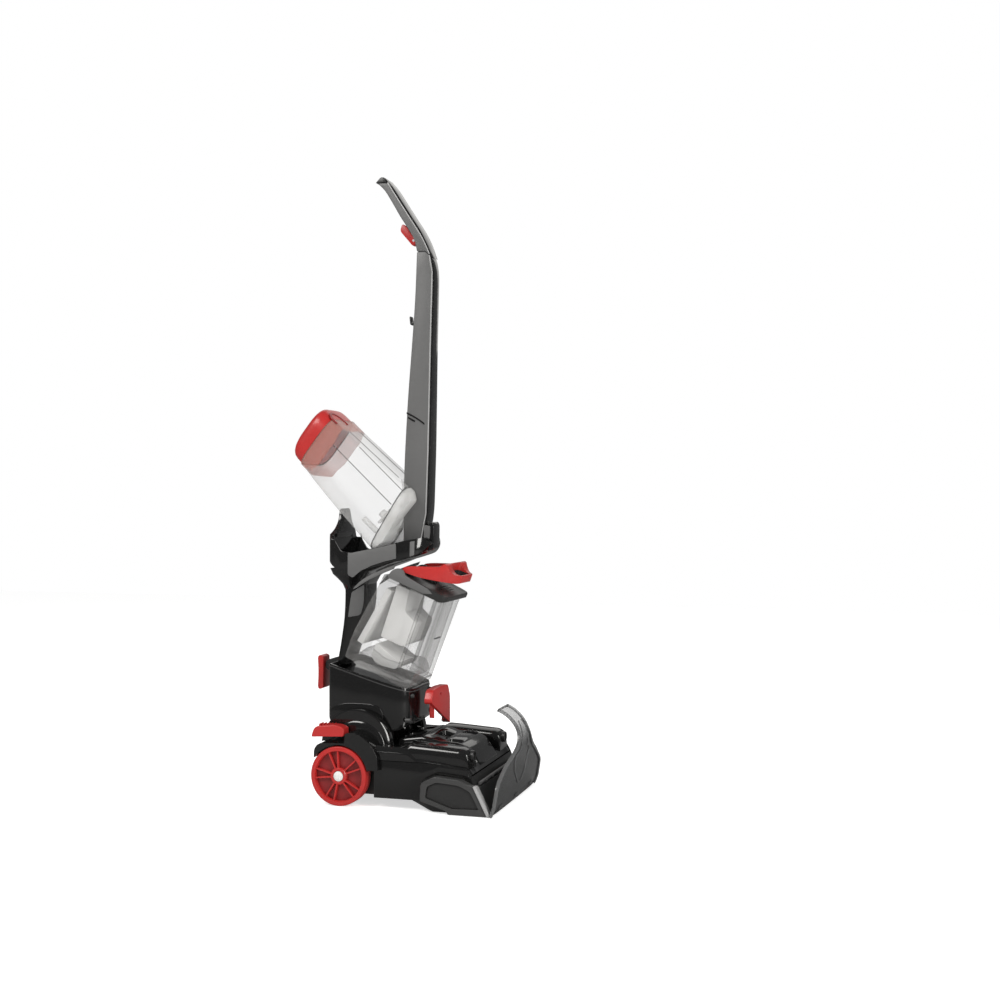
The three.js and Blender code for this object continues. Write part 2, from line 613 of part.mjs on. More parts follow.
// Shelf of the clean tank: rim, sloping floor, rear lip, and the socket of the mast.
function tankShelf() {
  const half = SHELF_HALF;
  const block = plate([
    [-61, 428, 6], [-59, 450, 6], [-46.5, 467, 6], [-44, 482, 6], [-44, 507, 2.5], [-39, 507, 2],
    [-37, 470], [-35, 451, 4], [-23, 431.5, 6], ...shelfTop, [155, 446, 4], [146, 440, 6],
    [118, 428, 10], [72, 414.5, 10], [40, 412, 10], [14, 402.8, 4], [-32, 402.8, 4],
  ], -half, half);
  const planHalf = [
    [-61, 20, 12], [-51, 46, 14], [-44, half, 10], [88, half, 40], [124, 44, 24], [135, 20, 16],
  ];
  const plan = prism([
    ...planHalf, ...[...planHalf].reverse().map(([x, y, r]) => [x, -y, r]),
  ], 300, 600);
  // Room beside the rear lip, which narrows to a rounded tab that backs the clean tank.
  const lipSide = [
    [70, 451.5], [57, 455, 6], [44, 466, 10], [32, 477, 14], [23, 490, 10], [20, 503, 4],
    [14, 508, 3], [0, 509], [0, 540], [70, 540],
  ];
  const lipRoom = join(...[-1, 1].map((side) => slab(
    lipSide.map(([y, ...rest]) => [side * y, ...rest]), -80, -36,
  )));
  const well = plate([
    [-39, 520], [-39, 466], [-42.5, 456], [-45, 416, 6], [10, 420, 10], [60, 431, 8], [72, 445],
    [72, 520],
  ], -half + 4, half - 4);
  const arches = [-1, 1].map((side) => {
    const faces = [side * (half - 2.2), side * half].sort((p, q) => p - q);
    return plate([
      [-22, 410], [-14, 384, 10], [10, 388, 20], [50, 404, 20], [80, 420], [60, 430],
    ], ...faces);
  });
  const cradle = plate([[32, 424], [52, 428], [44, 440.1], [38, 440.1]], -34, 34);
  const nose = plate([[112, 432, 4], [129, 443, 4], [129, 487, 4], [121, 494, 3], [110, 480]], -26, 26);
  return cut(
    join(common(cut(block, lipRoom, well), plan), ...arches, cradle, nose),
    plate(mastFoot(GAP), -MAST_HALF - GAP, MAST_HALF + GAP),
    plate(trimFoot(GAP), -MAST_HALF - GAP, MAST_HALF + GAP),
  );
}

// Where the mast and its front trim stand in the shelf.
function mastFoot(grow) {
  return [[77 - grow, 446 - grow], [109.6 + grow, 446 - grow], [119.8 + grow, 500], [78 - grow, 500]];
}
function trimFoot(grow) {
  return [[100, 446 - grow], [113.6 + grow, 446 - grow], [123.9 + grow, 500], [105, 500]];
}

const MAST_REAR = [[78, 447], [79, 576], [85, 700, 60], [90, 771, 60], [98, 876, 60], [102, 962, 20]];
const MAST_SEAM = [
  [118, 962], [126, 954.7], [129.3, 925, 20], [125, 791, 60], [122.6, 612, 60], [119.6, 500, 10],
  [109.6, 447],
];
const MAST_FRONT = [
  [113.6, 447], [123.6, 500, 10], [126.6, 612, 60], [129, 791, 60], [133.3, 925, 20], [130, 951, 20],
];

// Hollow mast: a box section that is open at its foot.
function mast() {
  const tube = plate([...MAST_REAR, ...MAST_SEAM], -MAST_HALF, MAST_HALF);
  const bore = plate([
    [82, 440], [83, 576], [89, 700, 60], [94, 771, 60], [102, 876, 60], [106, 940],
    [120, 940], [123, 920, 20], [120, 791, 60], [117.6, 612, 60], [114.6, 500, 10], [104.6, 440],
  ], -MAST_HALF + 4, MAST_HALF - 4);
  return cut(tube, bore);
}
const mastTrim = plate([
  ...MAST_FRONT, ...MAST_SEAM.slice(1).map(([x, z, r = 0]) => [x + GAP, z, r]),
], -MAST_HALF, MAST_HALF);

const GRIP_SPLIT = [[112.6, 987.8, 30], [84.7, 1029.8, 30], [53.6, 1077.6, 14], [47, 1088]];
// Grip that turns back from the top of the mast, in two shells.
const gripBody = cut(
  plate([
    [102, 962 + GAP], [98, 984, 20], [80, 1012, 20], [71, 1025], [56, 1051, 20], [41, 1075, 10],
    [27, 1088], ...[...GRIP_SPLIT].reverse(), [126, 954.7 + GAP], [118, 962 + GAP],
  ], -GRIP_HALF, GRIP_HALF),
  box(70, 103, -7, 7, 970, 1024),
);
const gripCover = plate([
  [126 + GAP, 954.7 + GAP], ...GRIP_SPLIT.map(([x, z, r]) => [x + GAP, z + GAP / 2, r]),
  [42, 1097, 4], [57, 1080, 20], [88, 1032, 30], [116, 990, 30], [130, 951 + GAP],
], -GRIP_HALF, GRIP_HALF);
const gripEnd = plate([
  [24, 1088 + GAP, 2], [46, 1088 + GAP], [40, 1098, 3], [33, 1098, 4],
], -GRIP_HALF, GRIP_HALF);

const TRIGGER_PIVOT = [92, 984];
const trigger = cut(
  join(
    rodY(TRIGGER_PIVOT[0], TRIGGER_PIVOT[1], 5, -6.5, 6.5, 14),
    plate([[96, 980, 3], [90, 976, 3], [66, 1003, 3], [71, 1016, 4], [80, 1010, 3]], -6.5, 6.5),
  ),
  rodY(TRIGGER_PIVOT[0], TRIGGER_PIVOT[1], 2.4, -10, 10, 12),
);
const triggerPin = rodY(TRIGGER_PIVOT[0], TRIGGER_PIVOT[1], 2, -6.7, 6.7, 12);

// Spur that holds the top of a wound cord.
const upperCordHook = plate([
  [95.4, 850], [84, 846, 2], [83, 832, 2], [87, 832, 1], [94.2, 838],
], -7, 7);

const cordHookArm = join(
  plate([[-76, 216, 3], [-76, 240, 3], [-58, 241, 4], [HOUSING_REAR_X - 4 - GAP, 228],
    [HOUSING_REAR_X - 4 - GAP, 206], [-64, 214, 4]], -9, 9),
);
const cordHook = plate([
  [-78, 243, 4], [-86, 238, 4], [-89, 186, 5], [-80, 180, 4], [-76.6, 190, 4], [-76.6, 243, 1],
], -15, 15);

const valveSeat = join(
  rodZ(12, 0, 14, 424, 427, 20), rodZ(12, 0, 5, 424, 432, 14),
);

const SCREW_Z = 140;
const SCREW_Y = 60;
const housingScrew = (y) => join(
  rodX(y, SCREW_Z, 4.5, HOUSING_FRONT_X + GAP, HOUSING_FRONT_X + 2.4, 14),
  rodX(y, SCREW_Z, 2, HOUSING_FRONT_X - 9, HOUSING_FRONT_X + 1, 12),
);

// ---------------------------------------------------------------- dirty water tank

const dirtyLine = (inset) => [
  [-DIRTY_DEPTH + inset, inset, inset ? 0 : 5], [-inset, inset, inset ? 0 : 3],
  [3 - inset, DIRTY_HEIGHT + inset], [-DIRTY_TOP_DEPTH + inset, DIRTY_HEIGHT + 7 + inset],
  [-DIRTY_DEPTH + inset, 43, 20],
];

function dirtyTankShell() {
  const form = (inset) => common(
    plate(dirtyLine(inset), -DIRTY_HALF, DIRTY_HALF),
    prism(rectangle(
      -DIRTY_DEPTH + inset, 4 - inset, -DIRTY_HALF + inset, DIRTY_HALF - inset, 16 - inset,
    ), -5, 200),
  );
  return cut(form(0), form(TANK_WALL));
}

const lidTop = (u) => 190 - ((u + 100) * 12) / 112;

function tankLid() {
  const line = (inset) => [
    [-DIRTY_TOP_DEPTH - 1 + inset, DIRTY_HEIGHT + 7 + GAP - inset],
    [3, DIRTY_HEIGHT + GAP - inset], [3 + LID_OVERHANG * 1.2 - inset * 4, DIRTY_HEIGHT + 4 - inset, 2],
    [3 + LID_OVERHANG - inset * 4, lidTop(12) - inset, 4], [-100 + inset, 190 - inset, 5],
  ];
  const plan = (inset) => prism(rectangle(
    -DIRTY_TOP_DEPTH - 1 + inset, 15 - inset * 4, -DIRTY_HALF + inset, DIRTY_HALF - inset, 16 - inset,
  ), 0, 300);
  const lugs = [-1, 1].map((side) => {
    const faces = [side * 40, side * 48].sort((p, q) => p - q);
    return join(
      rodY(...HANDLE_PIVOT, 6, ...faces, 24),
      plate([[-82, 184], [-66, 184], [-68, 194], [-80, 194]], ...faces),
    );
  });
  return cut(
    join(cut(common(plate(line(0), -80, 80), plan(0)), common(plate(line(3.4), -80, 80), plan(3.4))),
      ...lugs),
    rodY(...HANDLE_PIVOT, 2.6, -60, 60, 12),
  );
}

const HANDLE_PIVOT = [-74, 195];
// Bail handle that folds down on the lid, with its pins in the lid's lugs.
function tankHandle() {
  const side = plate([
    [-81, 190.4, 5], [-82, 199, 6], [-68, 205.4, 8], [-18, 223, 4], [-13.6, 230.6, 3],
    [-8.6, 229.6, 2], [-2.6, 221.6, 5], [6, 216.4, 8], [17, 218, 2], [19.4, 205, 4],
    [13, 201.4, 5], [-6, 199.2, 20], [-50, 191.6, 10],
  ], -60, 60);
  const plan = prism([
    [-90, -60], [-6, -60, 24], [19.4, -29, 14], [19.4, 29, 14], [-6, 60, 24], [-90, 60],
  ], 150, 260);
  return join(
    cut(
      common(side, plan),
      box(-120, -26, -49.4, 49.4, 150, 260), box(-12, 13.8, -29, 29, 180, 240),
    ),
    rodY(...HANDLE_PIVOT, 2, 41, 52, 12),
    rodY(...HANDLE_PIVOT, 2, -52, -41, 12),
  );
}

const PIPE_U = -34;
const dirtyTankPipe = cut(
  rodZ(PIPE_U, 0, 14, 46, lidTop(PIPE_U) - 6.8, 20),
  rodZ(PIPE_U, 0, 11.6, 45, 200, 20),
);
const dirtyTankBaffle = cut(
  box(-66, -64, -42, 42, TANK_WALL + GAP, 118),
  box(-67, -63, -18, 18, 60, 100),
);

const FLOAT_U = -84;
const FLOAT_BASE = 122;
const floatCage = cut(
  rodZ(FLOAT_U, 0, FLOAT_RADIUS + 4, FLOAT_BASE - 3, lidTop(FLOAT_U) - 5, 20),
  rodZ(FLOAT_U, 0, FLOAT_RADIUS + 1.4, FLOAT_BASE, lidTop(FLOAT_U) - 9, 20),
  box(FLOAT_U - 20, FLOAT_U + 20, -4, 4, FLOAT_BASE + 2, lidTop(FLOAT_U) - 14),
  box(FLOAT_U - 4, FLOAT_U + 4, -20, 20, FLOAT_BASE + 2, lidTop(FLOAT_U) - 14),
);
const float = rodZ(FLOAT_U, 0, FLOAT_RADIUS, FLOAT_BASE + GAP, FLOAT_BASE + 22, 20);

// ---------------------------------------------------------------- clean water tank

const VALVE_U = 36;
const cleanPlan = (grow, rear = CLEAN_REAR_LOW, front = CLEAN_DEPTH) => prism(rectangle(
  rear - 1 - grow, front + 1 + grow, -CLEAN_HALF - grow, CLEAN_HALF + grow, 30 + grow,
), -40, 300);
const cleanTopPlan = (grow) => cleanPlan(grow, CLEAN_REAR_TOP, CLEAN_TOP_DEPTH);

// Lower edge of the shell, where the base is fixed on.
const SHELL_LINE = [[CLEAN_REAR_LOW, 16], [CLEAN_DEPTH, 40]];
const shellBottom = (u) => SHELL_LINE[0][1]
  + ((u - SHELL_LINE[0][0]) * (SHELL_LINE[1][1] - SHELL_LINE[0][1])) / (CLEAN_DEPTH - CLEAN_REAR_LOW);

// Groove up the tank's front that straddles the mast while the tank is propped or seated.
const mastGroove = (grow) => plate([
  [43.5 - grow, -8], [112.5 - grow, 58 - grow], [200, 142], [200, -60], [43.5 - grow, -60],
], -MAST_HALF - 1.5 - grow, MAST_HALF + 1.5 + grow);

function cleanTankShell() {
  const line = (inset) => [
    [CLEAN_REAR_LOW + inset, shellBottom(CLEAN_REAR_LOW) + inset, 3],
    [CLEAN_DEPTH - inset, shellBottom(CLEAN_DEPTH) + inset, 4],
    [CLEAN_TOP_DEPTH - inset, CLEAN_LENGTH + (inset ? 1 : 0)],
    [CLEAN_REAR_TOP + inset, CLEAN_LENGTH + (inset ? 1 : 0)],
  ];
  const form = (inset) => cut(
    common(plate(line(inset), -80, 80), cleanPlan(-inset)), mastGroove(inset),
  );
  return cut(form(0), form(TANK_WALL), rodZ(VALVE_U, 0, 5 + RUNNING, -20, 100, 24));
}

const BASE_BOTTOM = [[0, 0, 1], [15, -5, 3], [66, 10, 6], [101, 13, 5], [CLEAN_DEPTH + 1, 30, 4]];
const valveBottom = -5 + ((VALVE_U - 15) * 15) / 51;
const cleanTankBase = cut(
  common(
    plate([
      ...BASE_BOTTOM, [CLEAN_DEPTH, shellBottom(CLEAN_DEPTH) - GAP],
      [CLEAN_REAR_LOW, shellBottom(CLEAN_REAR_LOW) - GAP], [CLEAN_REAR_LOW + 2, 9, 3],
    ], -80, 80),
    cleanPlan(0),
  ),
  mastGroove(0),
  // Hollow under the base, open below
  common(
    plate([
      [8, -20], [8, 8], [96, 27], [96, -20],
    ], -CLEAN_HALF + WALL, CLEAN_HALF - WALL),
    cleanPlan(-WALL),
    cut(box(-20, 200, -80, 80, -40, 60), mastGroove(WALL), rodZ(VALVE_U, 0, 12, -40, 60, 24)),
  ),
  rodZ(VALVE_U, 0, 5 + RUNNING, -20, 100, 24),
);

const valvePlunger = join(
  rodZ(VALVE_U, 0, 5, valveBottom - 1, shellBottom(VALVE_U) + 13, 24),
  rodZ(VALVE_U, 0, 9, shellBottom(VALVE_U) + 8, shellBottom(VALVE_U) + 14, 24),
);

function cleanTankCap() {
  const high = CLEAN_LENGTH + CAP_HEIGHT;
  const line = (inset) => [
    [CLEAN_REAR_TOP - 1 + inset, CLEAN_LENGTH + (inset ? -1 : GAP)],
    [CLEAN_TOP_DEPTH + 1 - inset, CLEAN_LENGTH + (inset ? -1 : GAP)],
    [CLEAN_TOP_DEPTH + 1 - inset, CLEAN_LENGTH + 13, 8], [94, high - 10 - inset, 24],
    [72, high - inset, 30], [46, high - inset, 30], [15, high - 10 - inset, 24],
    [CLEAN_REAR_TOP - 2 + inset, CLEAN_LENGTH + 13, 8],
  ];
  const dome = (inset) => common(plate(line(inset), -80, 80), cleanTopPlan(-inset), slab([
    [-CLEAN_HALF + inset, 200], [CLEAN_HALF - inset, 200],
    [CLEAN_HALF - inset, CLEAN_LENGTH + 12, 10],
    [CLEAN_HALF - 20, high - inset, 30], [-CLEAN_HALF + 20, high - inset, 30],
    [-CLEAN_HALF + inset, CLEAN_LENGTH + 12, 10],
  ], -20, 140));
  const inside = TANK_WALL + 3;
  const skirt = common(
    cut(cleanTopPlan(-inside), cleanTopPlan(-inside - 2)),
    box(-20, 200, -80, 80, CLEAN_LENGTH - 30, CLEAN_LENGTH + 4),
  );
  const collar = common(
    cut(cleanTopPlan(0), cleanTopPlan(-inside - 2)),
    box(-20, 200, -80, 80, CLEAN_LENGTH + GAP, CLEAN_LENGTH + 4),
    dome(0),
  );
  return join(cut(dome(0), dome(3.6)), collar, skirt);
}

// ---------------------------------------------------------------- assembly

// Group whose pieces are drawn round a turning edge and tipped about it.
function tipped([x, z], degrees, ...pieces) {
  const group = new THREE.Group();
  group.position.set(x, 0, z);
  group.rotation.y = rad(degrees);
  group.add(...pieces);
  return group;
}
const fromEdge = (body, [x, z]) => geometry(solid(body)).clone().translate(-x, 0, -z);

const machine = new THREE.Group();
machine.add(
  piece("foot_chassis", footChassis(), SATIN),
  piece("foot_cover", footCover(), BLACK),
  ...pair("brush_guard", brushGuard(), SATIN),
  piece("front_strip", frontStrip, GRAY),
  piece("rear_axle", rearAxle, STEEL),
  piece("brush_motor", brushMotor(), STEEL),
  piece("motor_pulley", motorPulley, STEEL),
  piece("drive_belt", driveBelt, RUBBER),
  piece("belt_cover", beltCover, SATIN),
  ...pair("brush_bearing", brushBearing, WHITE),
  piece("suction_duct", suctionDuct, SATIN),
  piece("spray_bar", sprayBar(), GRAY),
  ...pair("pivot_pin", pivotPin, STEEL),
  ...pair("wheel", wheel(), RED),
  ...pair("hub_cap", hubCap, WHITE),
  piece("brush_roll", brushRoll(), RED),
  piece("brush_pulley", brushPulley, STEEL),
  piece("recline_pedal", mirrorY(pedal), RED),
  piece("power_pedal", pedal, RED),
  piece("nozzle_latch", latch(), RED),
  piece("motor_housing", motorHousing(), BLACK),
  ...pair("trunnion", trunnion, BLACK),
  piece("housing_rear_cover", rearCover, SATIN),
  piece("suction_motor", suctionMotor, STEEL),
  piece("suction_fan", suctionFan(), WHITE),
  piece("water_pump", waterPump, SATIN),
  piece("spine", spine, BLACK),
  piece("air_duct", airDuct, SATIN),
  piece("tank_shelf", tankShelf(), BLACK),
  piece("mast", mast(), GRAY),
  piece("mast_trim", mastTrim, BLACK),
  piece("grip_body", gripBody, GRAY),
  piece("grip_cover", gripCover, BLACK),
  piece("grip_end", gripEnd, BLACK),
  piece("trigger", trigger, RED),
  piece("trigger_pin", triggerPin, STEEL),
  piece("upper_cord_hook", upperCordHook, BLACK),
  piece("cord_hook_arm", cordHookArm, BLACK),
  piece("cord_hook", cordHook, RED),
  piece("valve_seat", valveSeat, RUBBER),
  piece("housing_screw_right", housingScrew(-SCREW_Y), STEEL),
  piece("housing_screw_left", housingScrew(SCREW_Y), STEEL),
  tipped(NOZZLE_EDGE, NOZZLE_TILT, piece("front_nozzle", fromEdge(frontNozzle(), NOZZLE_EDGE), SMOKE)),
  tipped(
    DIRTY_EDGE, DIRTY_TILT,
    piece("dirty_tank_shell", dirtyTankShell(), SMOKE),
    piece("dirty_tank_pipe", dirtyTankPipe, SMOKE),
    piece("dirty_tank_baffle", dirtyTankBaffle, WHITE),
    piece("tank_lid", tankLid(), BLACK),
    piece("float_cage", floatCage, SATIN),
    piece("float", float, WHITE),
    piece("tank_handle", tankHandle(), RED),
  ),
  tipped(
    CLEAN_EDGE, -CLEAN_TILT,
    piece("clean_tank_shell", cleanTankShell(), CLEAR),
    piece("clean_tank_cap", cleanTankCap(), RED),
    piece("clean_tank_base", cleanTankBase, CLEAR),
    piece("valve_plunger", valvePlunger, WHITE),
  ),
);

// Centre the machine over its own base.
const extent = new THREE.Box3().setFromObject(machine, true);
const middle = extent.getCenter(new THREE.Vector3());
machine.position.set(-middle.x, -middle.y, -extent.min.z);
const shifted = new THREE.Group();
shifted.add(machine);

export default shifted;
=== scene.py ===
"""Finished look of an upright carpet washer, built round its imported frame.

Sizes are in millimetres measured from the wheel axle, with Z up from the floor, and are turned
to metres in the row frame when a mesh is placed.
"""

from __future__ import annotations

import logging
import math
from dataclasses import dataclass
from enum import Enum
from typing import Callable, Sequence

import bpy
from mathutils import Matrix, Vector

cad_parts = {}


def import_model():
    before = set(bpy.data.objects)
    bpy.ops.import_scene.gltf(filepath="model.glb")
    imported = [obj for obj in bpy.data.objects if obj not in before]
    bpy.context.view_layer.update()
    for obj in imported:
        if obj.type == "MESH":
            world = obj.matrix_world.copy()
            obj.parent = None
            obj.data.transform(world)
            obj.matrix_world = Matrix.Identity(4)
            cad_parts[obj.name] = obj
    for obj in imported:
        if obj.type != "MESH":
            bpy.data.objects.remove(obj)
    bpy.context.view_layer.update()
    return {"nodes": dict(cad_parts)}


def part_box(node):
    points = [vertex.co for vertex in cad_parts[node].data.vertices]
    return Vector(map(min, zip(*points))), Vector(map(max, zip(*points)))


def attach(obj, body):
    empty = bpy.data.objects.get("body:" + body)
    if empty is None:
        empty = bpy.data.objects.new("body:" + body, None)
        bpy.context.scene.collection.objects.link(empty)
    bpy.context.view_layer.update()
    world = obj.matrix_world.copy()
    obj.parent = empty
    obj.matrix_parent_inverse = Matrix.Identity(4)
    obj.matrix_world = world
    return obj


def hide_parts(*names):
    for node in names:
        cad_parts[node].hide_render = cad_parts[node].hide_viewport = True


LOG = logging.getLogger("carpet_washer")
Point = tuple[float, float]
Colour = tuple[float, float, float]

MM = 0.001  # metres in a millimetre
CORNER_SHARE = 0.49  # most of a side that one rounded corner may take
AXIS_RADIUS = 0.001  # radius that stands for a point on the axis of a turned solid
# Distances in millimetres under which vertices are merged.
PLATE_MERGE = 0.01
LOFT_MERGE = 0.005
DOME_MERGE = 0.02
# Sockets of a Mix node that blends colours.
MIX_FACTOR, MIX_FIRST, MIX_SECOND, MIX_RESULT = 0, 6, 7, 2
FADE_DEPTH = 0.04  # metres of height over which a fading finish loses its alpha
# Axes that several groups share, as (x, z).
WHEEL_AXLE: Point = (0.0, 51.0)
RECLINE_PIVOT: Point = (15.0, 95.0)


# ------------------------------------------------------------------ shader maths


class Value:
    """A number or colour on its way through a material's nodes."""

    def __init__(self, graph: "Graph", socket: bpy.types.NodeSocket) -> None:
        """Wraps the output socket of a node."""
        self.graph = graph
        self.socket = socket

    def _maths(self, operation: str, first: object, second: object) -> "Value":
        """Adds one Math node and wraps its result."""
        return self.graph.node("ShaderNodeMath", {"operation": operation}, {0: first, 1: second})

    def __add__(self, other: object) -> "Value":
        """Sum."""
        return self._maths("ADD", self, other)

    __radd__ = __add__

    def __sub__(self, other: object) -> "Value":
        """Difference."""
        return self._maths("SUBTRACT", self, other)

    def __mul__(self, other: object) -> "Value":
        """Product."""
        return self._maths("MULTIPLY", self, other)

    def clamped(self) -> "Value":
        """This value kept between nought and one."""
        return self.graph.node("ShaderNodeClamp", {}, {"Value": self})


class Graph:
    """The node tree of one material."""

    def __init__(self, name: str) -> None:
        """Starts an empty material with an output.

        Args:
            name: the material's name.
        """
        self.material = bpy.data.materials.new(name)
        self.material.use_nodes = True
        self.tree = self.material.node_tree
        self.tree.nodes.clear()
        self.output = self.tree.nodes.new("ShaderNodeOutputMaterial")

    def feed(self, socket: bpy.types.NodeSocket, value: object) -> None:
        """Links or sets one input socket.

        Args:
            socket: the input.
            value: a Value to link, or a constant to set.
        """
        if isinstance(value, Value):
            self.tree.links.new(value.socket, socket)
        elif value is not None:
            socket.default_value = value

    def node(self, kind: str, settings: dict, inputs: dict, output: object = 0) -> Value:
        """Adds any node.

        Args:
            kind: the node's type.
            settings: its own settings.
            inputs: values or links by socket name or number.
            output: the output socket to wrap.

        Returns:
            The wrapped output.
        """
        made = self.tree.nodes.new(kind)
        for key, value in settings.items():
            setattr(made, key, value)
        for key, value in inputs.items():
            self.feed(made.inputs[key], value)
        return Value(self, made.outputs[output])

    def place(self) -> Value:
        """Object coordinates of the shaded point."""
        return self.node("ShaderNodeTexCoord", {}, {}, "Object")

    def noise(self, scale: float, detail: float = 3.0, stretch: Colour | None = None) -> Value:
        """Cloudy pattern from nought to one.

        Args:
            scale: features per metre.
            detail: number of finer layers.
            stretch: factor on each axis, or None.

        Returns:
            The pattern's factor.
        """
        where = self.place()
        if stretch:
            where = self.node("ShaderNodeMapping", {}, {"Vector": where, "Scale": stretch})
        return self.node(
            "ShaderNodeTexNoise", {}, {"Vector": where, "Scale": scale, "Detail": detail}, "Fac"
        )

    def mixed(self, factor: object, first: object, second: object) -> Value:
        """Blend of two colours.

        Args:
            factor: nought for the first, one for the second.
            first: colour or Value.
            second: colour or Value.

        Returns:
            The blended colour.
        """
        made = self.tree.nodes.new("ShaderNodeMix")
        made.data_type = "RGBA"
        self.feed(made.inputs[MIX_FACTOR], factor)
        for socket, colour in ((MIX_FIRST, first), (MIX_SECOND, second)):
            self.feed(made.inputs[socket], (*colour, 1.0) if isinstance(colour, tuple) else colour)
        return Value(self, made.outputs[MIX_RESULT])

    def bump(self, height: Value, strength: float, distance: float) -> Value:
        """Surface relief from a height.

        Args:
            height: pattern from nought to one.
            strength: share of the relief.
            distance: full relief in metres.

        Returns:
            The turned normal.
        """
        return self.node(
            "ShaderNodeBump", {}, {"Strength": strength, "Distance": distance, "Height": height}
        )

    def surface(self, inputs: dict) -> None:
        """Ends the material in one Principled shader.

        Args:
            inputs: values or links by socket name.
        """
        self.feed(
            self.output.inputs["Surface"], self.node("ShaderNodeBsdfPrincipled", {}, inputs)
        )


# ------------------------------------------------------------------ finishes


@dataclass(frozen=True)
class Moulded:
    """Moulded plastic, from mirror gloss to grained.

    Attributes:
        colour: main colour.
        roughness: middle roughness.
        grain: relief of the surface in millimetres.
        grain_scale: grains per metre.
        coat: clear top layer.
        wear: how far dust and rubbing lighten the colour.
    """

    colour: Colour
    roughness: float
    grain: float = 0.02
    grain_scale: float = 900.0
    coat: float = 0.0
    wear: float = 0.05

    def material(self, name: str) -> bpy.types.Material:
        """Builds the material.

        Args:
            name: the material's name.

        Returns:
            The new material.
        """
        graph = Graph(name)
        clouds = graph.noise(14.0, 4.0)
        fine = graph.noise(self.grain_scale, 2.0)
        scuffs = graph.noise(60.0, 6.0, (1.0, 1.0, 5.0))
        lighter = tuple(min(1.0, c * 1.25 + self.wear) for c in self.colour)
        darker = tuple(c * 0.85 for c in self.colour)
        graph.surface({
            "Base Color": graph.mixed((clouds * 0.5 + scuffs * 0.25).clamped(), darker, lighter),
            "Roughness": (self.roughness * 0.8 + scuffs * (self.roughness * 0.4)).clamped(),
            "Coat Weight": self.coat,
            "Coat Roughness": 0.04,
            "Normal": graph.bump(fine, 0.6, self.grain * MM),
        })
        return graph.material


@dataclass(frozen=True)
class Translucent:
    """Thin clear or smoked plastic, denser where it is seen edge on.

    Attributes:
        colour: tint.
        density: alpha where it is seen square on.
        edge: alpha added where it is seen edge on.
        roughness: of its gloss.
        fade: alpha lost with height.
        fade_from: height in metres where the loss starts; it is complete FADE_DEPTH higher.
    """

    colour: Colour
    density: float
    edge: float
    roughness: float = 0.08
    fade: float = 0.0
    fade_from: float = 0.0

    def material(self, name: str) -> bpy.types.Material:
        """Builds the material.

        Args:
            name: the material's name.

        Returns:
            The new material.
        """
        graph = Graph(name)
        facing = graph.node("ShaderNodeLayerWeight", {}, {"Blend": 0.35}, "Facing")
        clouds = graph.noise(9.0, 3.0)
        height = graph.node("ShaderNodeSeparateXYZ", {}, {0: graph.place()}, "Z")
        fading = ((height - self.fade_from) * (1 / FADE_DEPTH)).clamped() * self.fade
        graph.surface({
            "Base Color": graph.mixed(clouds, tuple(c * 0.93 for c in self.colour), self.colour),
            "Roughness": (self.roughness + clouds * 0.05).clamped(),
            "Alpha": (facing * self.edge + self.density + clouds * 0.04 - fading).clamped(),
            "Specular IOR Level": 0.6,
            "Normal": graph.bump(graph.noise(26.0, 2.0), 0.25, 0.04 * MM),
        })
        graph.material.surface_render_method = "BLENDED"
        return graph.material


@dataclass(frozen=True)
class Brushed:
    """Turned or brushed steel.

    Attributes:
        colour: metal's colour.
        roughness: middle roughness.
    """

    colour: Colour = (0.55, 0.56, 0.58)
    roughness: float = 0.32

    def material(self, name: str) -> bpy.types.Material:
        """Builds the material.

        Args:
            name: the material's name.

        Returns:
            The new material.
        """
        graph = Graph(name)
        lines = graph.noise(300.0, 3.0, (1.0, 0.05, 1.0))
        graph.surface({
            "Base Color": graph.mixed(lines, tuple(c * 0.8 for c in self.colour), self.colour),
            "Metallic": 1.0,
            "Roughness": (self.roughness + lines * 0.15).clamped(),
            "Normal": graph.bump(lines, 0.3, 0.02 * MM),
        })
        return graph.material


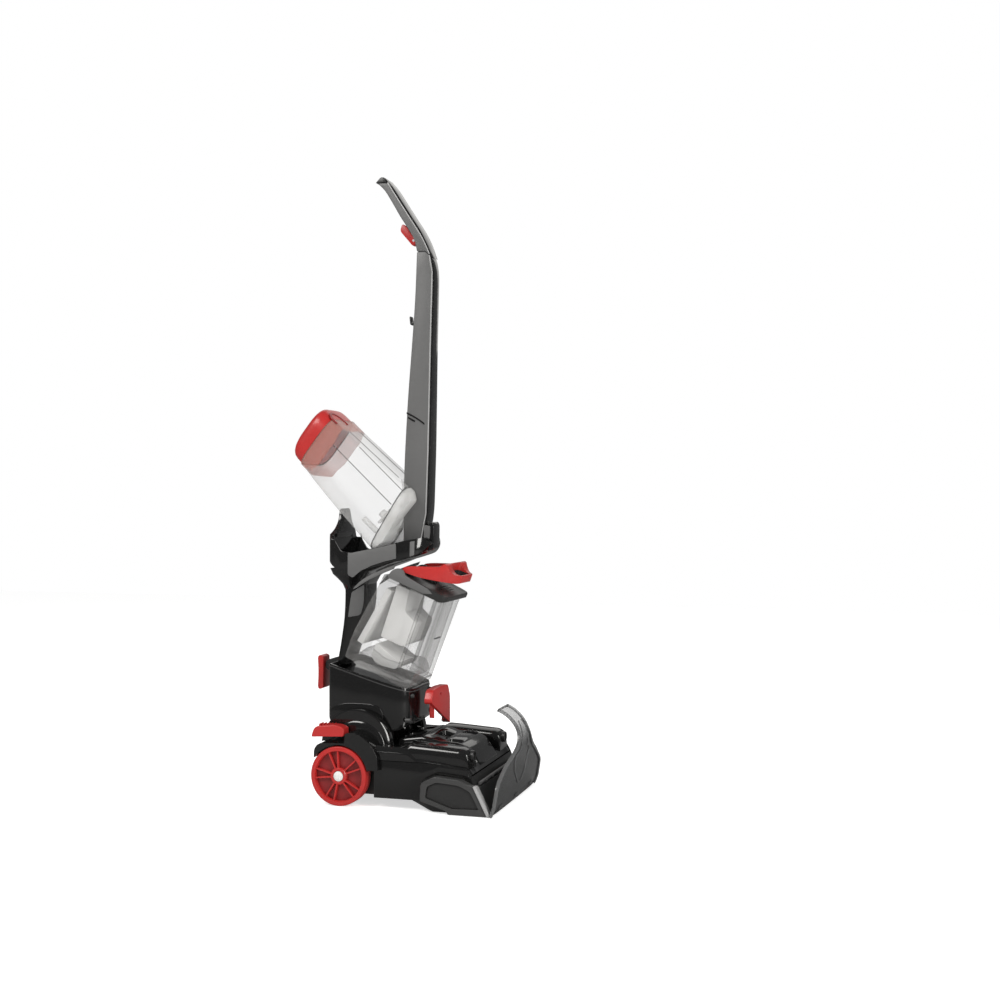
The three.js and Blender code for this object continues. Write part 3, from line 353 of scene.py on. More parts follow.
class Look(Enum):
    """Finishes of the machine, each with the record's slot that it belongs to."""

    GLOSS_BLACK = ("gloss_black", Moulded(
        (0.006, 0.006, 0.006),
        roughness=0.12, grain=0.004, grain_scale=500.0, coat=0.5, wear=0.002))
    SATIN_BLACK = ("satin_black", Moulded(
        (0.024, 0.024, 0.024),
        roughness=0.34, grain=0.02, grain_scale=1100.0, coat=0.0, wear=0.004))
    # Dark gray of the brush guard, screw heads and pin, also used as painted highlight for the band
    # round the housing's top edge.
    GUARD_GRAY = ("satin_black", Moulded(
        (0.046, 0.046, 0.046),
        roughness=0.36, grain=0.02, grain_scale=1100.0, coat=0.0, wear=0.008))
    MID_GRAY = ("mid_gray", Moulded(
        (0.114, 0.114, 0.114),
        roughness=0.42, grain=0.015, grain_scale=1000.0, coat=0.0, wear=0.01))
    # Pale gray of the guard's sealing lip, also used as painted highlight for the light lines along
    # the mast's and grip's joints.
    EDGE_GRAY = ("mid_gray", Moulded(
        (0.36, 0.36, 0.36), roughness=0.35, grain=0.02, grain_scale=900.0, coat=0.1, wear=0.02))
    RED = ("red", Moulded(
        (0.47, 0.024, 0.022), roughness=0.33, grain=0.015, grain_scale=900.0, coat=0.08, wear=0.0))
    DEEP_RED = ("red", Moulded(
        (0.245, 0.012, 0.013), roughness=0.42, grain=0.02, grain_scale=900.0, coat=0.0, wear=0.01))
    WHITE = ("white", Moulded(
        (0.80, 0.80, 0.78), roughness=0.40, grain=0.015, grain_scale=900.0, coat=0.1, wear=0.0))
    STEEL = ("steel", Brushed())
    RUBBER = ("rubber", Moulded(
        (0.02, 0.02, 0.02), roughness=0.8, grain=0.05, grain_scale=1500.0, coat=0.0, wear=0.01))
    CLEAR = ("clear", Translucent((0.60, 0.60, 0.595), density=0.09, edge=0.44))
    FROST = ("clear", Translucent((0.86, 0.86, 0.85), density=0.34, edge=0.4))
    SEAM = ("clear", Translucent((0.12, 0.12, 0.12), density=0.55, edge=0.3))
    PINK = ("red", Translucent((0.60, 0.23, 0.18), density=0.28, edge=0.3))
    SMOKE = ("smoke", Translucent((0.30, 0.295, 0.29), density=0.12, edge=0.36))
    SMOKE_EDGE = ("smoke", Translucent((0.14, 0.14, 0.14), density=0.09, edge=0.45))
    WINDOW = ("white", Translucent((0.97, 0.97, 0.96), density=0.72, edge=0.1))
    NOZZLE_SMOKE = ("smoke", Translucent(
        (0.040, 0.041, 0.042), density=0.74, edge=0.22, roughness=0.18, fade=0.50, fade_from=0.10))
    SMOKE_RIM = ("smoke", Translucent(
        (0.13, 0.132, 0.134), density=0.78, edge=0.2, roughness=0.2, fade=0.36, fade_from=0.11))

    @property
    def slot(self) -> str:
        """The record's material slot."""
        return self.value[0]

    @property
    def material(self) -> bpy.types.Material:
        """The finish's one shared material, built when it is first asked for."""
        name = f"finish_{self.name.lower()}"
        return bpy.data.materials.get(name) or self.value[1].material(name)


# ------------------------------------------------------------------ outlines


def rounded(points: Sequence[Sequence[float]], steps: int = 5) -> list[Point]:
    """Turns a list of corners into an outline with rounded corners.

    Args:
        points: corners as (x, y) or (x, y, radius).
        steps: points on each rounded corner.

    Returns:
        The outline's points.
    """
    result: list[Point] = []
    for i, corner in enumerate(points):
        here = Vector(corner[:2])
        radius = corner[2] if len(corner) > 2 else 0.0
        if not radius:
            result.append(tuple(here))
            continue
        before = Vector(points[i - 1][:2]) - here
        after = Vector(points[(i + 1) % len(points)][:2]) - here
        start = here + before.normalized() * min(radius, before.length * CORNER_SHARE)
        end = here + after.normalized() * min(radius, after.length * CORNER_SHARE)
        for step in range(steps):
            t = step / (steps - 1)
            point = start * (1 - t) ** 2 + here * (2 * t * (1 - t)) + end * t ** 2
            result.append(tuple(point))
    return result


def box_corners(left: float, right: float, low: float, high: float, radius: float = 0.0) -> list:
    """Corners of a rectangle, all with one radius."""
    return [(left, low, radius), (right, low, radius), (right, high, radius), (left, high, radius)]


def mirrored(points: Sequence[Sequence[float]]) -> list:
    """Adds the mirror image of a half outline in Y, given as (y, z) or (y, z, radius)."""
    return [*points, *((-p[0], *p[1:]) for p in reversed(points))]


def circle(radius: float, sides: int) -> list[Point]:
    """Points of a circle about the origin."""
    turns = (2 * math.pi * i / sides for i in range(sides))
    return [(radius * math.cos(t), radius * math.sin(t)) for t in turns]


def between(a: float, b: float, t: float) -> float:
    """Value at share t of the way from a to b."""
    return a + (b - a) * t


def along(line: Sequence[Point], x: float) -> float:
    """Height of an open line at x, straight between its points and level after the last."""
    for (x0, z0), (x1, z1) in zip(line, line[1:]):
        if x <= x1:
            return between(z0, z1, (x - x0) / (x1 - x0))
    return line[-1][1]


@dataclass(frozen=True)
class Place:
    """Where pieces stand: the origin they are drawn from and their tilt.

    Attributes:
        x: distance in front of the wheel axle.
        z: height.
        tilt: degrees forward of upright.
        drawn_from: the point of the drawing that lands on (x, z).
    """

    x: float = 0.0
    z: float = 0.0
    tilt: float = 0.0
    drawn_from: Point = (0.0, 0.0)

    def matrix(self, axle_x: float) -> Matrix:
        """Matrix from the drawing's millimetres to the row frame.

        Args:
            axle_x: the axle's place in the row frame, in metres.

        Returns:
            The matrix.
        """
        return (
            Matrix.Translation((axle_x + self.x * MM, 0.0, self.z * MM))
            @ Matrix.Rotation(math.radians(self.tilt), 4, "Y")
            @ Matrix.Scale(MM, 4)
            @ Matrix.Translation((-self.drawn_from[0], 0.0, -self.drawn_from[1]))
        )


UPRIGHT_PLACE = Place()
MIRROR_Y = Matrix.Diagonal((1.0, -1.0, 1.0, 1.0))


# ------------------------------------------------------------------ bench


class Bench:
    """Makes, cuts and finishes meshes with Blender's own modelling tools."""

    def __init__(self, axle_x: float) -> None:
        """Keeps the axle's place.

        Args:
            axle_x: the wheel axle's X in the row frame, in metres.
        """
        self.axle_x = axle_x

    @staticmethod
    def only(obj: bpy.types.Object) -> None:
        """Selects one object and makes it active."""
        bpy.ops.object.select_all(action="DESELECT")
        obj.select_set(True)
        bpy.context.view_layer.objects.active = obj

    def edit(self, obj: bpy.types.Object, *steps: Callable[[], object]) -> None:
        """Runs steps on the whole of an object in edit mode.

        Args:
            obj: the object.
            steps: operators to call with everything selected.
        """
        self.only(obj)
        bpy.ops.object.mode_set(mode="EDIT")
        bpy.ops.mesh.select_mode(type="VERT")
        bpy.ops.mesh.select_all(action="SELECT")
        for step in steps:
            step()
        bpy.ops.object.mode_set(mode="OBJECT")

    def modify(self, obj: bpy.types.Object, kind: str, **settings: object) -> None:
        """Adds a modifier and applies it.

        Args:
            obj: the object.
            kind: the modifier's type.
            settings: its settings.
        """
        self.only(obj)
        modifier = obj.modifiers.new(kind.title(), kind)
        for key, value in settings.items():
            setattr(modifier, key, value)
        bpy.ops.object.modifier_apply(modifier=modifier.name)

    def bevel(
        self, obj: bpy.types.Object, width: float, segments: int = 2, angle: float = 40
    ) -> None:
        """Rounds an object's sharp edges.

        Args:
            obj: the object, still in millimetres.
            width: width of the rounding.
            segments: facets across it.
            angle: smallest angle in degrees that counts as sharp.
        """
        self.modify(
            obj, "BEVEL", width=width, segments=segments, limit_method="ANGLE",
            angle_limit=math.radians(angle), use_clamp_overlap=True, harden_normals=False,
        )

    def plate(
        self,
        outline: Sequence[Sequence[float]],
        low: float,
        high: float,
        axis: str = "Y",
        bevel: float = 0.0,
        segments: int = 2,
    ) -> bpy.types.Object:
        """Solid drawn out from a flat outline.

        Args:
            outline: corners in X and Z for axis Y, Y and Z for axis X, or X and Y for axis Z,
                each with a radius if it is rounded.
            low: where the solid starts along the axis.
            high: where it ends.
            axis: the way it is drawn out.
            bevel: width of its rounded edges.
            segments: facets across a rounded edge.

        Returns:
            The new object, in millimetres.
        """
        outline = rounded(outline)
        bpy.ops.object.select_all(action="DESELECT")
        bpy.ops.mesh.primitive_circle_add(vertices=len(outline), fill_type="NGON")
        obj = bpy.context.object
        spots = {
            "X": lambda a, b: (low, a, b),
            "Y": lambda a, b: (a, low, b),
            "Z": lambda a, b: (a, b, low),
        }[axis]
        for vertex, (a, b) in zip(obj.data.vertices, outline):
            vertex.co = spots(a, b)
        move = tuple((high - low) if name == axis else 0.0 for name in "XYZ")
        self.edit(
            obj,
            lambda: bpy.ops.mesh.extrude_region_move(TRANSFORM_OT_translate={"value": move}),
            lambda: bpy.ops.mesh.select_all(action="SELECT"),
            lambda: bpy.ops.mesh.remove_doubles(threshold=PLATE_MERGE),
            lambda: bpy.ops.mesh.normals_make_consistent(inside=False),
        )
        if bevel:
            self.bevel(obj, bevel, segments)
        return obj

    def loft(
        self,
        rings: Sequence[Sequence[Sequence[float]]],
        closed: bool = True,
        capped: bool = True,
        bevel: float = 0.0,
    ) -> bpy.types.Object:
        """Skin over a row of rings that all have as many points.

        Args:
            rings: rings of (x, y, z) points.
            closed: whether each ring closes on itself.
            capped: whether the first and last ring are filled.
            bevel: width of rounded edges.

        Returns:
            The new object, in millimetres.
        """
        columns = len(rings[0]) + (1 if closed else 0)
        bpy.ops.object.select_all(action="DESELECT")
        bpy.ops.mesh.primitive_grid_add(
            x_subdivisions=columns - 1, y_subdivisions=len(rings) - 1, size=1
        )
        obj = bpy.context.object
        for j, ring in enumerate(rings):
            for i in range(columns):
                obj.data.vertices[j * columns + i].co = ring[i % len(ring)]
        steps: list[Callable[[], object]] = [
            lambda: bpy.ops.mesh.remove_doubles(threshold=LOFT_MERGE),
        ]
        if capped:
            steps += [
                lambda: bpy.ops.mesh.select_all(action="DESELECT"),
                lambda: bpy.ops.mesh.select_non_manifold(),
                lambda: bpy.ops.mesh.edge_face_add(),
                lambda: bpy.ops.mesh.select_all(action="SELECT"),
            ]
        steps.append(lambda: bpy.ops.mesh.normals_make_consistent(inside=False))
        self.edit(obj, *steps)
        if bevel:
            self.bevel(obj, bevel)
        return obj

    def turned(
        self, profile: Sequence[Point], x: float, z: float, axis: str = "Y", sides: int = 48
    ) -> bpy.types.Object:
        """Solid of revolution.

        Args:
            profile: (distance along the axis, radius) points of a closed loop or of a line
                that starts and ends on the axis.
            x: centre in X, or in Y for axis X.
            z: centre in Z, or in Y for axis Z.
            axis: the axis it turns about.
            sides: facets round it.

        Returns:
            The new object, in millimetres.
        """
        spots = {
            "Y": lambda s, a, b: (x + a, s, z + b),
            "Z": lambda s, a, b: (x + a, z + b, s),
            "X": lambda s, a, b: (s, x + a, z + b),
        }[axis]
        rings = [
            [spots(s, *point) for point in circle(max(radius, AXIS_RADIUS), sides)]
            for s, radius in profile
        ]
        on_axis = profile[0][1] == 0 and profile[-1][1] == 0
        if not on_axis:
            rings.append(rings[0])
        return self.loft(rings, capped=False)

    def carve(self, obj: bpy.types.Object, *cutters: bpy.types.Object) -> bpy.types.Object:
        """Cuts other solids out of one.

        Args:
            obj: the solid that is kept.
            cutters: solids that are used up.

        Returns:
            The kept object.
        """
        return self._combine(obj, "DIFFERENCE", cutters)

    def weld(self, obj: bpy.types.Object, *others: bpy.types.Object) -> bpy.types.Object:
        """Joins solids into one skin.

        Args:
            obj: the solid that is kept.
            others: solids that are used up.

        Returns:
            The kept object.
        """
        return self._combine(obj, "UNION", others)

    def common(self, obj: bpy.types.Object, *others: bpy.types.Object) -> bpy.types.Object:
        """Keeps what solids have in common.

        Args:
            obj: the solid that is kept.
            others: solids that are used up.

        Returns:
            The kept object.
        """
        return self._combine(obj, "INTERSECT", others)

    def _combine(
        self, obj: bpy.types.Object, operation: str, others: Sequence[bpy.types.Object]
    ) -> bpy.types.Object:
        """Runs one boolean for each other solid and removes it."""
        for other in others:
            self.modify(obj, "BOOLEAN", operation=operation, object=other, solver="EXACT")
            bpy.data.objects.remove(other, do_unlink=True)
        return obj

    def gather(self, first: bpy.types.Object, *others: bpy.types.Object) -> bpy.types.Object:
        """Makes several meshes one object without cutting them.

        Args:
            first: the object that is kept.
            others: objects that are used up.

        Returns:
            The kept object.
        """
        self.only(first)
        for other in others:
            other.select_set(True)
        if others:
            bpy.ops.object.join()
        return first

    def copy(self, obj: bpy.types.Object, change: Matrix) -> bpy.types.Object:
        """Copies an object with its own mesh.

        Args:
            obj: the pattern.
            change: matrix that moves the copy's mesh.

        Returns:
            The copy.
        """
        twin = obj.copy()
        twin.data = obj.data.copy()
        bpy.context.collection.objects.link(twin)
        twin.data.transform(change)
        if change.determinant() < 0:
            twin.data.flip_normals()
        return twin

    def piece(
        self,
        obj: bpy.types.Object,
        name: str,
        look: Look,
        body: str,
        replaces: Sequence[str] = (),
        place: Place = UPRIGHT_PLACE,
        angle: float = 32.0,
    ) -> bpy.types.Object:
        """Puts a finished mesh in its place and gives it its look.

        Args:
            obj: the object, in millimetres.
            name: the piece's name.
            look: its finish.
            body: the body that it moves with.
            replaces: frame nodes that it stands for.
            place: where its drawing lands.
            angle: degrees under which edges are shaded smooth.

        Returns:
            The finished piece.
        """
        obj.name = obj.data.name = name
        obj.data.transform(place.matrix(self.axle_x))
        obj.data.materials.clear()
        obj.data.materials.append(look.material)
        self.only(obj)
        bpy.ops.object.shade_smooth_by_angle(angle=math.radians(angle))
        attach(obj, body)
        if replaces:
            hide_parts(*replaces)
        LOG.info("%s: %d faces", name, len(obj.data.polygons))
        return obj


# ------------------------------------------------------------------ sub-assemblies


@dataclass
class SubAssembly:
    """A group of pieces that are made together.

    Attributes:
        bench: where their meshes are made.
    """

    bench: Bench

    def build(self) -> None:
        """Makes every piece of the group."""
        raise NotImplementedError

    def pair(
        self,
        make: Callable[[], bpy.types.Object],
        stem: str,
        look: Look,
        bodies: tuple[str, str] | str,
        replaces: str = "",
        **finish: object,
    ) -> None:
        """Makes a right-hand piece and its mirror image on the left.

        Args:
            make: draws the right-hand mesh.
            stem: name before the side.
            look: the finish.
            bodies: right and left body, or one for both.
            replaces: stem of the frame nodes that the pair stands for.
            finish: more arguments for Bench.piece.
        """
        right = make()
        left = self.bench.copy(right, MIRROR_Y)
        both = (bodies, bodies) if isinstance(bodies, str) else bodies
        for obj, side, body in ((right, "right", both[0]), (left, "left", both[1])):
            nodes = [f"{replaces}_{side}"] if replaces else []
            self.bench.piece(obj, f"{stem}_{side}", look, body, nodes, **finish)


# ------------------------------------------------------------------ foot


@dataclass
class Foot(SubAssembly):
    """Floor head: its deck, side panels, fenders, pivot domes and brush guards.

    Attributes:
        half: half the width of its body.
        pivot: the recline pivot as (x, z).
        rail_top: height of the side rails from the rear to the front.
        ridge_top: height of the middle ridge.
        shoulder_top: height of the shoulders.
    """

    half: float = 122.3
    pivot: Point = RECLINE_PIVOT
    rail_top: Sequence[Point] = ((62.0, 104.0), (122.0, 103.0), (137.0, 90.0), (190.0, 84.0),
                                 (226.0, 77.0), (236.0, 63.0))
    ridge_top: Sequence[Point] = ((84.0, 107.0), (90.0, 110.0), (128.0, 115.5), (158.0, 107.5),
                                  (194.0, 106.0), (210.0, 98.5), (221.0, 86.5), (231.0, 66.0))
    shoulder_top: Sequence[Point] = ((110.0, 101.0), (118.0, 108.0), (126.0, 112.0),
                                     (150.0, 111.0), (218.0, 106.5), (226.0, 103.0),
                                     (229.0, 96.0), (230.0, 82.0))

    def build(self) -> None:
        """Makes the foot."""
        self.bench.piece(self.deck(), "foot_deck", Look.GLOSS_BLACK, "foot", ["foot_cover"])
        self.bench.piece(self.ridge(), "duct_ridge", Look.GLOSS_BLACK, "foot")
        self.bench.piece(self.port(), "duct_port", Look.SATIN_BLACK, "foot")
        self.pair(self.shoulder, "deck_shoulder", Look.GLOSS_BLACK, "foot")
        self.pair(self.tube_end, "shoulder_tube", Look.SATIN_BLACK, "foot")
        self.pair(self.side_panel, "side_panel", Look.GLOSS_BLACK, "foot")
        self.pair(self.fender, "wheel_fender", Look.GLOSS_BLACK, "foot")
        self.pair(self.dome, "pivot_dome", Look.GLOSS_BLACK, "foot")
        self.pair(self.guard, "guard_frame", Look.GUARD_GRAY, "foot", "brush_guard")
        self.pair(self.guard_panel, "guard_panel", Look.SATIN_BLACK, "foot")
        self.pair(self.guard_strip, "guard_strip", Look.EDGE_GRAY, "foot")

    def deck(self) -> bpy.types.Object:
        """Deck with a chamfered rail along each side and a step over the seam."""
        rear, bottom, seam, widest_chamfer = 62.5, 62.3, 81.3, 8.0
        rings = []
        for x in (
            rear, 64.5, 90.0, 120.0, 125.0, 131.0, 137.0, 160.0, 190.0, 215.0, 226.0, 235.5,
        ):
            top = along(self.rail_top, x) - (1.5 if x == rear else 0.0)
            step = min(seam, top - 6)
            chamfer = min(widest_chamfer, top - step - 1)
            side = [
                (self.half - 4, bottom), (self.half - 4, step), (self.half, step + 0.01),
                (self.half, top - chamfer), (self.half - 9, top), (self.half - 20, top),
                (self.half - 24, top - 2.5), (60.0, top - 3.5),
            ]
            rings.append([(x, y, z) for y, z in mirrored(side)])
        return self.bench.loft(rings, bevel=0.7)

    def ridge(self) -> bpy.types.Object:
        """Raised middle over the suction duct, with a hollow for the nozzle's neck."""
        bottom, widest, narrowest, taper_from = 62.0, 61.8, 52.0, 200
        rings = []
        for x in (84.4, 86.0, 90.0, 105.0, 120.0, 128.0, 136.0, 147.0, 158.0, 176.0, 190.0, 200.0,
                  208.0, 215.0, 222.0, 230.6):
            top = along(self.ridge_top, x)
            radius = min(9.0, (top - bottom) * 0.45)
            half = widest if x < taper_from else between(widest, narrowest, (x - taper_from) / 30)
            side = rounded([(half + 1, bottom), (half, top - 0.1, radius), (0.0, top)], 6)
            rings.append([(x, y, z) for y, z in mirrored(side[:-1])])
        body = self.bench.loft(rings)
        hollows = [self.bench.plate(box_corners(*corners), low, 130, "Z")
                   for corners, low in (
                       ((141, 163, -21, 21, 5), 92), ((92, 122, -44, -14, 5), 104),
                       ((92, 122, 14, 44, 5), 104), ((170, 196, -54, -30, 6), 88),
                       ((170, 196, 30, 54, 6), 88))]
        self.bench.carve(body, *hollows)
        self.bench.bevel(body, 1.1, 2, 50)
        return body

    def port(self) -> bpy.types.Object:
        """Ribs, screw bosses and the grid of the suction port."""
        parts = [
            self.bench.plate([(143, 94), (161, 94), (161, 101), (143, 105)], y, y + 2.0)
            for y in (-15, -6, 4, 13)
        ]
        for x, y, z in ((100, -29, 110), (100, 29, 110), (178, -42, 95), (178, 42, 95)):
            parts.append(self.bench.turned(
                [(z - 14, 0), (z - 14, 6.5), (z - 1, 6.5), (z, 5.6), (z, 3), (z - 3, 2.6),
                 (z - 3, 0)], x, y, "Z", 24))
        for x in (130.0, 134.0):
            top = 115.5 - (x - 130) * 0.4
            parts.append(
                self.bench.plate(box_corners(-40, 40, 108, top, 2), x, x + 1.6, "X", 0.4))
        return self.bench.gather(*parts)

    def shoulder(self) -> bpy.types.Object:
        """Rounded shoulder beside the nozzle's neck."""
        rings = []
        for x in (110.5, 113.0, 118.0, 126.0, 140.0, 160.0, 190.0, 210.0, 218.0, 223.0, 226.5,
                  228.5, 229.8):
            top = along(self.shoulder_top, x)
            radius = min(12.0, (top - 70) * 0.5)
            side = rounded([
                (-117.6, 70), (-117.6, top - 8, radius), (-108, top, radius), (-84, top, radius),
                (-72.4, top - 6, radius), (-72.4, 70),
            ])
            rings.append([(x, y, z) for y, z in side])
        return self.bench.loft(rings)

    def tube_end(self) -> bpy.types.Object:
        """Blind tube at the front of a shoulder."""
        profile = [(222, 0), (222, 9.5), (233.0, 9.5), (233.8, 8.7), (233.8, 6.9), (226, 6.5),
                   (226, 0)]
        return self.bench.turned(profile, -94.0, 92.0, "X", 32)

    def side_panel(self) -> bpy.types.Object:
        """Lower side wall from the wheel to behind the guard, with the panel above the guard."""
        return self.bench.plate(
            [(63, 18.5, 2), (147, 18.5, 2), (150.5, 52, 3), (175, 63.4, 3), (223, 59.4, 3),
             (238, 51, 2), (236, 62, 3), (228, 76, 3), (180, 80.5, 2), (63, 80.6, 2)],
            -122.2, -118.6, bevel=0.9)

    def fender(self) -> bpy.types.Object:
        """Wheel arch with a flat chamfer along its outer edge."""
        outline = rounded([
            (-45, 64, 2), (-45, 96, 6), (-37, 106, 6), (-8, 107.5, 3), (11.2, 108, 1),
            (12.5, 124.5, 2), (25, 127.5, 6), (43, 121, 8), (57, 110, 8), (67, 97, 6),
            (71.5, 84, 4), (72, 64, 2),
        ], 4)
        body = self.bench.plate(outline, -130, -95.2)
        self.bench.carve(body, self.bench.turned(
            [(-140, 0), (-140, 54), (-101.5, 54), (-101.5, 0)], *WHEEL_AXLE, sides=64))
        self.bench.bevel(body, 5.0, 1, 62)
        self.bench.bevel(body, 0.7, 2, 25)
        return body

    def dome(self) -> bpy.types.Object:
        """Half drum over the recline pivot, with a raised disc on its face."""
        x, z = self.pivot[0] + 3, self.pivot[1] + 2
        drum = self.bench.turned(
            [(-96.5, 0), (-96.5, 61.5), (-94.5, 64), (-78.5, 64), (-78.5, 60.5), (-93.6, 60.5),
             (-93.6, 0)], x, z, sides=96)
        disc = self.bench.turned(
            [(-95, 0), (-99.6, 0), (-99.6, 44), (-98.4, 49.5), (-96.0, 52), (-95, 52)],
            x + 4, z - 6, sides=96)
        self.bench.weld(drum, disc)
        self.bench.carve(drum, self.bench.plate(
            [(x - 90, 20), (x + 90, 20), (x + 90, 92), (x + 46, 104), (x - 60, 104), (x - 90, 92)],
            -120, -60))
        self.bench.bevel(drum, 0.6, 2, 50)
        return drum

    def guard(self) -> bpy.types.Object:
        """Guard beside the brush, framed round a sunken panel."""
        body = self.bench.plate(
            [(150, 20, 3), (152, 50, 5), (176, 62, 5), (222, 58, 6), (246, 46.5, 5),
             (271.6, 1.6, 2), (266, 0.4), (200, 0.4), (196, 6, 3)], -137.8, -122.6)
        self.bench.bevel(body, 2.4, 3, 40)
        panel = self.bench.plate(
            [(160, 26, 3), (163, 45, 5), (179, 53, 5), (220, 49.5, 6), (239, 40, 5),
             (254, 12, 3), (206, 10.5, 3)], -145, -133.5)
        self.bench.carve(body, panel)
        self.bench.bevel(body, 0.8, 2, 60)
        return body

    def guard_panel(self) -> bpy.types.Object:
        """Panel that fills the guard's frame."""
        return self.bench.plate(
            [(160.6, 26.4, 3), (163.6, 44.6, 5), (179.2, 52.4, 5), (219.8, 48.9, 6),
             (238.6, 39.6, 5), (253.2, 12.6, 3), (206, 11.1, 3)], -135.4, -133.2, bevel=1.0)

    def guard_strip(self) -> bpy.types.Object:
        """Pale sealing lip along the guard's sloping front edge."""
        return self.bench.plate(
            [(243.6, 50.2, 1.5), (249.6, 49.4, 1.5), (274.2, 2.2, 1), (272.6, 0.5), (268.6, 0.5)],
            -139.6, -126, bevel=0.8)


# ------------------------------------------------------------------ wheels and brush


@dataclass
class Wheels(SubAssembly):
    """Rear wheels with paired spokes.

    Attributes:
        radius: of the tread.
        outer: distance of their outer faces from the middle.
        centre: axle as (x, z).
        pairs: number of spoke pairs.
        first_pair: degrees round the hub to the first pair.
        spread: degrees from a pair's middle to each of its spokes.
    """

    radius: float = 51.0
    outer: float = 130.0
    centre: Point = WHEEL_AXLE
    pairs: int = 5
    first_pair: float = 103.5
    spread: float = 11.0

    def build(self) -> None:
        """Makes both wheels."""
        bodies = ("right_wheel", "left_wheel")
        self.pair(self.rim, "wheel_rim", Look.RED, bodies, "wheel")
        self.pair(self.web, "wheel_web", Look.DEEP_RED, bodies)
        self.pair(self.spokes, "wheel_spokes", Look.RED, bodies)
        self.pair(self.cap, "wheel_cap", Look.WHITE, bodies, "hub_cap")

    def rim(self) -> bpy.types.Object:
        """Rim with a grooved tread and a hub ring."""
        out, radius = -self.outer, self.radius
        tread: list[Point] = [(out, radius - 7.5), (out, radius - 2.2), (out + 0.7, radius - 0.8),
                              (out + 2.2, radius)]
        for i in range(4):
            y = out + 5 + i * 4.6
            tread += [(y, radius), (y + 0.5, radius - 0.9), (y + 1.5, radius - 0.9),
                      (y + 2, radius)]
        tread += [(out + 23, radius), (out + 25, radius - 2), (out + 25, radius - 8),
                  (out + 2, radius - 8.6)]
        rim = self.bench.turned(tread, *self.centre, sides=96)
        hub = self.bench.turned(
            [(out + 1.0, 9.2), (out + 0.4, 10), (out + 0.4, 13.4), (out + 1.4, 14.4),
             (out + 24.6, 14.4), (out + 24.6, 5.2), (out + 3, 5.2), (out + 3, 9.2)],
            *self.centre, sides=64)
        return self.bench.gather(rim, hub)

    def web(self) -> bpy.types.Object:
        """Recessed disc behind the spokes."""
        out = -self.outer
        return self.bench.turned(
            [(out + 8, 14), (out + 7, 26), (out + 8, 42.6), (out + 11, 42.6), (out + 10, 26),
             (out + 11, 14)], *self.centre, sides=96)

    def spokes(self) -> bpy.types.Object:
        """Thin blades in pairs that spread towards the rim."""
        out = -self.outer
        blades = []
        for i in range(self.pairs):
            for side in (-1, 1):
                blade = self.bench.plate(
                    [(12.8, -1.5), (43.6, -1.2), (43.6, 1.2), (12.8, 1.5)],
                    out + 1.2, out + 9, bevel=0.5)
                turn = math.radians(
                    self.first_pair + 360 / self.pairs * i + side * self.spread)
                blade.data.transform(
                    Matrix.Translation((self.centre[0], 0, self.centre[1]))
                    @ Matrix.Rotation(-turn, 4, "Y"))
                blades.append(blade)
        return self.bench.gather(*blades)

    def cap(self) -> bpy.types.Object:
        """Domed white cap in the hub."""
        out = -self.outer
        return self.bench.turned(
            [(out - 1.2, 0), (out - 1.0, 4), (out - 0.4, 7.2), (out + 0.4, 8.4), (out + 2.6, 8.8),
             (out + 2.6, 0)], *self.centre, sides=48)


@dataclass
class Brush(SubAssembly):
    """Roll of bristle tufts that meet in a chevron.

    Attributes:
        centre: axis as (x, z).
        half: half the length of the roll.
        rows: helical rows of tufts.
        tufts: tufts in half a row.
        lag: radians that each tuft of a row is turned on from the one before.
    """

    centre: Point = (204.0, 31.5)
    half: float = 99.5
    rows: int = 8
    tufts: int = 11
    lag: float = 0.11

    def build(self) -> None:
        """Makes the roll and its bristles."""
        core = self.bench.turned(
            [(-self.half, 0), (-self.half, 14), (-self.half + 2, 16), (self.half - 2, 16),
             (self.half, 14), (self.half, 0)], *self.centre, sides=48)
        self.bench.piece(core, "brush_core", Look.DEEP_RED, "brush", ["brush_roll"])
        self.bench.piece(self.bristles(), "brush_bristles", Look.RED, "brush", angle=60)

    def bristles(self) -> bpy.types.Object:
        """All tufts as one mesh: each splays a little towards its tip."""
        pattern = self.bench.turned(
            [(14.5, 0), (14.5, 1.7), (22, 1.9), (29.4, 2.3), (29.8, 1.4), (29.0, 0)],
            0, 0, "Z", 8)
        made = []
        home = Matrix.Translation((self.centre[0], 0, self.centre[1]))
        for row in range(self.rows):
            for i in range(self.tufts):
                for side in (-1, 1):
                    y = side * between(4, self.half - 5, i / (self.tufts - 1))
                    turn = Matrix.Rotation(
                        row * 2 * math.pi / self.rows + i * self.lag, 4, "Y")
                    spot = home @ Matrix.Translation((0, y, 0))
                    made.append(self.bench.copy(pattern, spot @ turn))
        bpy.data.objects.remove(pattern, do_unlink=True)
        return self.bench.gather(*made)


# ------------------------------------------------------------------ controls and nozzle


